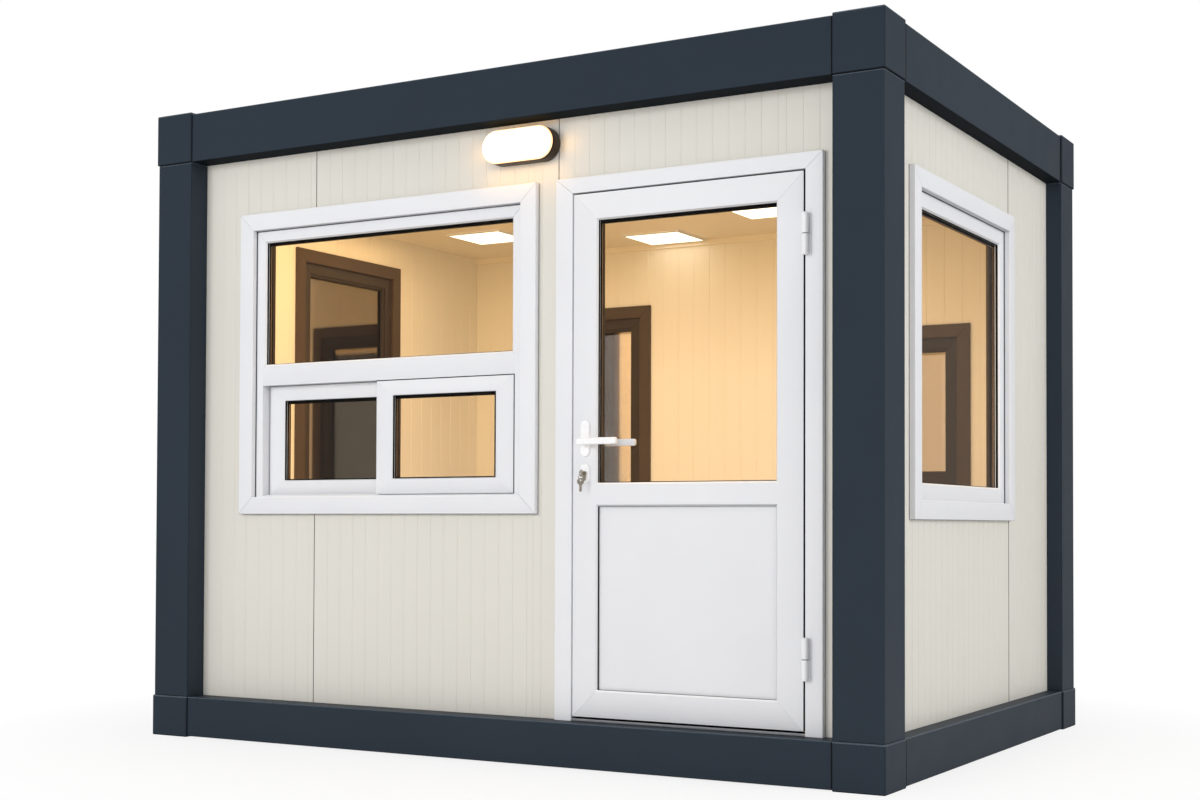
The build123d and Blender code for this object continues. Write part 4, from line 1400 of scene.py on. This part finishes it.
for name, outline, material, solid in (
    ("lamp_housing_shell", HOUSING, lamp_bronze, "wall_lamp_housing"),
    ("lamp_cover", COVER, lamp_glow, "wall_lamp_diffuser"),
):
    drawing = bmesh.new()
    swept(drawing, *[stadium(drawn_in * MM, out * MM) for drawn_in, out in outline])
    make_piece(name, drawing, front_wall, material, stands_for=(solid,))

# %% [markdown]
# ## Hinges
# Each hinge is two turned barrels on one pin, with a thin dark ring between them. A barrel
# is a profile spun about the pin, and its wing is a softened block. The profile is a list
# of shares of the radius and of millimetres from the barrel's free end.

# %% Hinge barrels
HINGE_RADIUS = 12 * MM
TURN_STEPS = 32
WING = 4 * MM
WING_START = 6 * MM
WING_END = 15 * MM
WING_INSET = 2 * MM
WING_SOFT = 1.5 * MM
BARREL_CAP = (
    (0.70, 0), (0.92, 0.8), (1.0, 2.2), (1.0, 7), (0.93, 7.4), (0.93, 8.2), (1.0, 8.6),
)


def turned(drawing, centre, profile):
    """A body of rings about an upright axis, from (radius, height) pairs."""
    rings = []
    for radius, height in profile:
        rings.append([(
            centre[0] + radius * math.cos(2 * math.pi * step / TURN_STEPS),
            centre[1] + radius * math.sin(2 * math.pi * step / TURN_STEPS), height,
        ) for step in range(TURN_STEPS)])
    swept(drawing, *rings)


def barrel(drawing, box, wing_right):
    """One barrel with a cap at its free end and its wing."""
    low, high = box
    x = low.x + HINGE_RADIUS if wing_right else high.x - HINGE_RADIUS
    free, turn = (low.z, 1) if wing_right else (high.z, -1)
    length = (high.z - low.z) / MM
    shape = (*BARREL_CAP, (1.0, length - 2), (0.96, length - 0.8), (0.86, length))
    profile = [(HINGE_RADIUS * share, free + turn * up * MM) for share, up in shape]
    turned(drawing, (x, low.y + HINGE_RADIUS), profile if wing_right else profile[::-1])
    near, far = (x + WING_START, x + WING_END) if wing_right else (x - WING_END, x - WING_START)
    front = high.y - WING
    section = softened(
        [(near, high.y), (near, front), (far, front), (far, high.y)], WING_SOFT, (0, 3),
    )
    heights = (low.z + WING_INSET, high.z - WING_INSET)
    swept(drawing, *[[(across, out, height) for across, out in section] for height in heights])


HINGE_LENGTH = 73 * MM
for name, wing_right, body in (("lower", True, "root"), ("upper", False, "door")):
    drawing = bmesh.new()
    for low, high in solid_boxes(f"hinge_{name}_knuckles"):
        barrel(drawing, (low, Vector((high.x, high.y, low.z + HINGE_LENGTH))), wing_right)
    stands_for = (f"hinge_{name}_knuckles",)
    make_piece(f"hinge_{name}_barrels", drawing, AS_DRAWN, hinge_coat, body, stands_for)

WASHER = 2.4 * MM
WASHER_GAP = 0.1 * MM
WASHER_HOLE = 0.6 * HINGE_RADIUS
WASHER_EDGE = 0.985 * HINGE_RADIUS
drawing = bmesh.new()
for low, high in solid_boxes("hinge_upper_knuckles"):
    turned(drawing, (high.x - HINGE_RADIUS, low.y + HINGE_RADIUS), [
        (WASHER_HOLE, low.z - WASHER), (WASHER_EDGE, low.z - 0.9 * WASHER),
        (WASHER_EDGE, low.z - 2 * WASHER_GAP), (WASHER_HOLE, low.z - WASHER_GAP),
    ])
make_piece("hinge_washers", drawing, AS_DRAWN, seal_rubber_and_gap_shade)

# %% [markdown]
# ## Joints of the steel frame
# The frame is bolted together from beams, columns and corner blocks. Where two of them
# meet, a black sealing strip fills the gap. It lies on the beam next to the block, which
# stands a little proud, and on the column just over or under the block. On the two sides
# the strip beside the block is broader.

# %% Sealing strips between beams, columns and blocks
STRIP = 4 * MM
SIDE_STRIP = 16 * MM
THIN_STRIP = 2 * MM
STRIP_PROUD = 0.3 * MM
STRIP_EDGE = 0.05 * MM


def outermost(wall, box):
    """How far out a solid reaches on a wall."""
    return max(wall.out(corner) for corner in box)


def on_this_side(wall, boxes):
    """The solids that lie at the outer side of a wall."""
    reach = max(outermost(wall, box) for box in boxes)
    return [box for box in boxes if reach - outermost(wall, box) < 50 * MM]


columns = solid_boxes("columns")
for wall in (front_wall, *single_walls):
    length, broad = ("long", STRIP) if wall in (front_wall, back_wall) else ("short", SIDE_STRIP)
    drawing = bmesh.new()
    for level in ("bottom", "top"):
        beam, = on_this_side(wall, solid_boxes(f"{level}_beams_{length}"))
        beam_out = outermost(wall, beam)
        for block in on_this_side(wall, solid_boxes(f"{level}_corner_blocks")):
            left, right, bottom, top = flat_box(wall, block)
            edge = right if left < 0 else left - broad
            strip = (edge, edge + broad, beam[0].z + STRIP, beam[1].z - STRIP)
            depths = (beam_out - STRIP, beam_out + STRIP_PROUD)
            flat_bar(drawing, strip, *depths, STRIP_EDGE, upright=True)
            for column in on_this_side(wall, columns):
                sides = flat_box(wall, column)
                if sides[0] * left > 0:
                    height = top if level == "bottom" else bottom - THIN_STRIP
                    out = outermost(wall, column)
                    band = (sides[0] + STRIP, sides[1] - STRIP, height, height + THIN_STRIP)
                    flat_bar(drawing, band, out - STRIP, out + STRIP_PROUD, STRIP_EDGE)
            proud = outermost(wall, block) - beam_out
            print(level, "block proud by", round(proud / MM, 1), "mm")
    make_piece(f"{wall.name}_frame_strips", drawing, wall, seal_rubber_and_gap_shade)

# %% [markdown]
# ## Softer edges on the door's metal
# The handle, the lock and the door sill keep their solids. Their meshes are loose
# triangles, so a Weld modifier joins them first, and a Bevel modifier then rounds the edges.

# %% Round off the solids that stay
SHARPER_THAN = math.radians(38)
SOFT_EDGES = {
    "door_lever": 2.5 * MM, "handle_plates": 1.2 * MM, "lock_cylinder": 0.6 * MM,
    "threshold": 1.5 * MM,
}
for node, width in SOFT_EDGES.items():
    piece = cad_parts[node]
    weld = piece.modifiers.new("weld", "WELD")
    weld.merge_threshold = MERGE
    bevel = piece.modifiers.new("soft_edge", "BEVEL")
    bevel.width = width
    bevel.segments = 2
    bevel.limit_method = "ANGLE"
    bevel.angle_limit = SHARPER_THAN
    bevel.use_clamp_overlap = True
print(len(SOFT_EDGES), "solids softened")

# %% [markdown]
# ## Ceiling lights
# Each light panel has a slim white rim round its glowing cover. The rims are drawn flat like
# the casings, with the drawing's height along the booth's depth.

# %% Rims of the ceiling lights
RIM = 9 * MM
ceiling_place = Matrix(((1, 0, 0, 0), (0, 0, 1, 0), (0, 1, 0, 0), (0, 0, 0, 1)))
drawing = bmesh.new()
for low, high in sorted(solid_boxes("ceiling_lights"), key=lambda box: box[0].x):
    outer = grown_box((low.x, high.x, low.y, high.y), 1 * MM)
    section = softened([
        (0, -high.z), (0, -low.z), (RIM, -low.z + 2 * MM), (RIM, -high.z),
    ], sharp=(0, 3))
    mitred_bars(drawing, outer, grown_box(outer, -RIM), section)
make_piece("ceiling_light_rims", drawing, ceiling_place, white_profile)

# %% [markdown]
# ## Roof screws
# The roof sheet is held down by hexagon screws with washers, in rows along its ribs. One
# screw is drawn once, and a small tree puts it on every point of a grid.

# %% Screws on the roof


def screw_tree():
    """A hexagon head on a washer, at each point of a grid."""
    floats, integers = ("Length", "Width", "Height", "Head"), ("Along", "Across")
    tree, given = start_tree("roof_screws", floats, integers)
    head = given["Head"]
    grid = add_node(tree, "GeometryNodeMeshGrid", None, {
        "Size X": given["Length"], "Size Y": given["Width"],
        "Vertices X": given["Along"], "Vertices Y": given["Across"],
    })
    cap = add_node(tree, "GeometryNodeMeshCylinder", None, {
        "Vertices": 6, "Radius": head, "Depth": head * 0.7,
    })
    washer = add_node(tree, "GeometryNodeMeshCylinder", None, {
        "Vertices": 16, "Radius": head * 1.7, "Depth": head * 0.25,
    })
    down = add_node(tree, "ShaderNodeCombineXYZ", None, {2: head * -0.4})
    low_washer = add_node(tree, "GeometryNodeTransform", None, {
        "Geometry": washer, "Translation": down,
    })
    screw = add_node(tree, "GeometryNodeJoinGeometry")
    for part in (cap, low_washer):
        tree.links.new(part.socket, screw.socket.node.inputs[0])
    sockets = {"Points": grid, "Instance": screw}
    placed = add_node(tree, "GeometryNodeInstanceOnPoints", None, sockets)
    solid = add_node(tree, "GeometryNodeRealizeInstances", None, {0: placed})
    up = add_node(tree, "ShaderNodeCombineXYZ", None, {2: given["Height"]})
    lifted = add_node(tree, "GeometryNodeTransform", None, {"Geometry": solid, "Translation": up})
    return end_tree(tree, lifted, given["Material"])


ROOF_PITCH = 250 * MM
SCREW_HEAD = 4.5 * MM
SCREW_ROWS = 5
ROW_MARGIN = 150 * MM
roof_low, roof_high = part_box("roof_sheet")
rib_count = int((roof_high.x - roof_low.x) // ROOF_PITCH)
mesh = tree_mesh(screw_tree(), {
    "Length": (rib_count - 1) * ROOF_PITCH, "Width": roof_high.y - roof_low.y - 2 * ROW_MARGIN,
    "Height": roof_high.z + 0.45 * SCREW_HEAD, "Head": SCREW_HEAD,
    "Along": rib_count, "Across": SCREW_ROWS, "Material": steel,
})
drawing = bmesh.new()
drawing.from_mesh(mesh)
make_piece("roof_screws", drawing, AS_DRAWN, steel)

# %% [markdown]
# ## Camera
# The camera stands to the right of the booth, a little under a metre from the ground. It
# looks almost level, and its lens is shifted up, which keeps the uprights nearly parallel.
# Depth of field stays off.

# %% Camera
camera_place = Vector((3.637, -6.5625, 0.876))
yaw, pitch, roll = math.radians(29.93), math.radians(1.27), math.radians(0.184)
camera = bpy.data.objects.new("camera", bpy.data.cameras.new("camera"))
bpy.context.scene.collection.objects.link(camera)
camera.data.sensor_width = 36
camera.data.lens = 51.94
camera.data.shift_y = 0.0736
camera.location = camera_place
level = Matrix.Rotation(yaw, 4, "Z") @ Matrix.Rotation(math.pi / 2 + pitch, 4, "X")
camera.rotation_euler = (level @ Matrix.Rotation(roll, 4, "Z")).to_euler()
bpy.context.scene.camera = camera
bpy.context.scene.view_settings.view_transform = "Standard"

# %% [markdown]
# ## Studio
# A large key light stands in front and to the left of the booth, a weaker and higher one in
# front to the right, and a third shines on the right side. The surround gives an even grey
# light, and is white where the camera sees it, also through glass. The lamps stay out of
# reflections, so the panes show the room and not the studio. The floor is white, and keeps
# a soft shadow.

# %% Lights, surround and floor
SURROUND = 0.45
SHADOW_REACH = 1.7
SHADOW_FADE = 1.2
FLOOR_REACH = 30


def soft_light(name, place, target, size, power, tint=(1, 1, 1)):
    """A square area light that looks at a point."""
    light = bpy.data.lights.new(name, "AREA")
    light.shape = "SQUARE"
    light.size = size
    light.energy = power
    light.color = tint
    holder = bpy.data.objects.new(name, light)
    bpy.context.scene.collection.objects.link(holder)
    holder.location = place
    holder.rotation_euler = (Vector(target) - Vector(place)).to_track_quat("-Z", "Y").to_euler()
    return holder


for light in (
    soft_light("key", (-3.0, -10.0, 3.2), (0.4, 0, 0.9), 3.6, 330),
    soft_light("front_fill", (2.6, -9.0, 3.8), (0.6, 0, 1.8), 3, 95),
    soft_light("side_fill", (9.0, -1.2, 3.6), (0, 0, 1.0), 4, 290),
):
    light.visible_glossy = False

world = bpy.data.worlds.new("studio")
bpy.context.scene.world = world
world.use_nodes = True
world.node_tree.nodes.clear()
rays = add_node(world.node_tree, "ShaderNodeLightPath").socket.node.outputs
by_camera, through_glass = (
    Wire(world.node_tree, rays[name]) for name in ("Is Camera Ray", "Is Transmission Ray")
)
strength = by_camera.high(through_glass) * (1 - SURROUND) + SURROUND
sockets = {"Strength": strength, "Color": (1, 1, 1, 1)}
background = add_node(world.node_tree, "ShaderNodeBackground", None, sockets)
add_node(world.node_tree, "ShaderNodeOutputWorld", None, {"Surface": background})


def floor_finish():
    """White floor: mostly plain white, and diffuse near the booth to keep the shadow."""
    finish = Finish("studio_floor", **{"Base Color": (0.93, 0.93, 0.93, 1), "Roughness": 0.9})
    length = {"operation": "LENGTH"}
    away = finish.node("ShaderNodeVectorMath", length, {0: finish.place}, output=1)
    fade = 0.8 + 0.2 * ((away - SHADOW_REACH) / SHADOW_FADE).high(0).low(1)
    plain = finish.node("ShaderNodeEmission", None, {"Strength": 1.0})
    camera_only = finish.node("ShaderNodeLightPath")
    finish.covered(fade * camera_only, plain)
    return finish.material


floor_mesh = bpy.data.meshes.new("studio_floor")
around_booth = ((-1, -1), (1, -1), (1, 1), (-1, 1))
corners = [(x * FLOOR_REACH, y * FLOOR_REACH, 0) for x, y in around_booth]
floor_mesh.from_pydata(corners, [], [(0, 1, 2, 3)])
floor_mesh.materials.append(floor_finish())
floor = bpy.data.objects.new("studio_floor", floor_mesh)
bpy.context.scene.collection.objects.link(floor)

# %% [markdown]
# ## Light inside and at the lamp
# The ceiling panels are too small to light the room without noise, so two wide warm lights
# under the ceiling do their work. One near the floor and one along the front wall stand
# for the light that comes back from the floor and the walls. Narrow lights lie round the
# wall lamp, two along it and one at each end, for its glow on the panels and the beam.
# None is seen itself.

# %% Warm lights
WARM = (1.0, 0.64, 0.29)
LAMP_GLOW = (1.0, 0.51, 0.09)
GLOW_WIDTH = 0.03


def hidden_light(name, place, toward, length, width, power, tint):
    """A long light that is seen neither by the camera nor in reflections."""
    light = soft_light(name, place, Vector(place) + Vector(toward), length, power, tint)
    light.data.shape = "RECTANGLE"
    light.data.size_y = width
    light.visible_camera = False
    light.visible_glossy = False


under_ceiling, over_floor = ceiling_low - 12 * MM, wall_bottom + 0.2
beside_front = 0.08 - front_wall.inner
DOWN, UP, BACK = (0, 0, -1), (0, 0, 1), (0, 1, 0)
for name, place, toward, length, width, power in (
    ("room_light_left", (-0.75, -0.3, under_ceiling), DOWN, 1.2, 1.1, 13),
    ("room_light_right", (0.95, -0.45, under_ceiling), DOWN, 0.9, 1.1, 13),
    ("uplight", (0, -0.4, over_floor), UP, 2.6, 0.7, 14),
    ("room_fill", (-0.15, beside_front, 1.5), BACK, 2.6, 1.3, 17),
):
    hidden_light(name, place, toward, length, width, power, WARM)

out_of_wall = front_panel[0].y - 0.06
for number, (x, z, toward, length, power) in enumerate((
    (lamp_x, housing_low.z - 0.012, (0, 0.35, -1), 0.34, 0.13),
    (lamp_x, housing_high.z + 0.004, (0, 0.1, 1), 0.28, 0.10),
    (housing_low.x - 0.03, lamp_z, (-1, 0.8, -0.3), 0.08, 0.026),
    (housing_high.x + 0.03, lamp_z, (1, 0.8, -0.3), 0.08, 0.026),
)):
    place = (x, out_of_wall, z)
    hidden_light(f"lamp_glow_{number}", place, toward, length, GLOW_WIDTH, power, LAMP_GLOW)
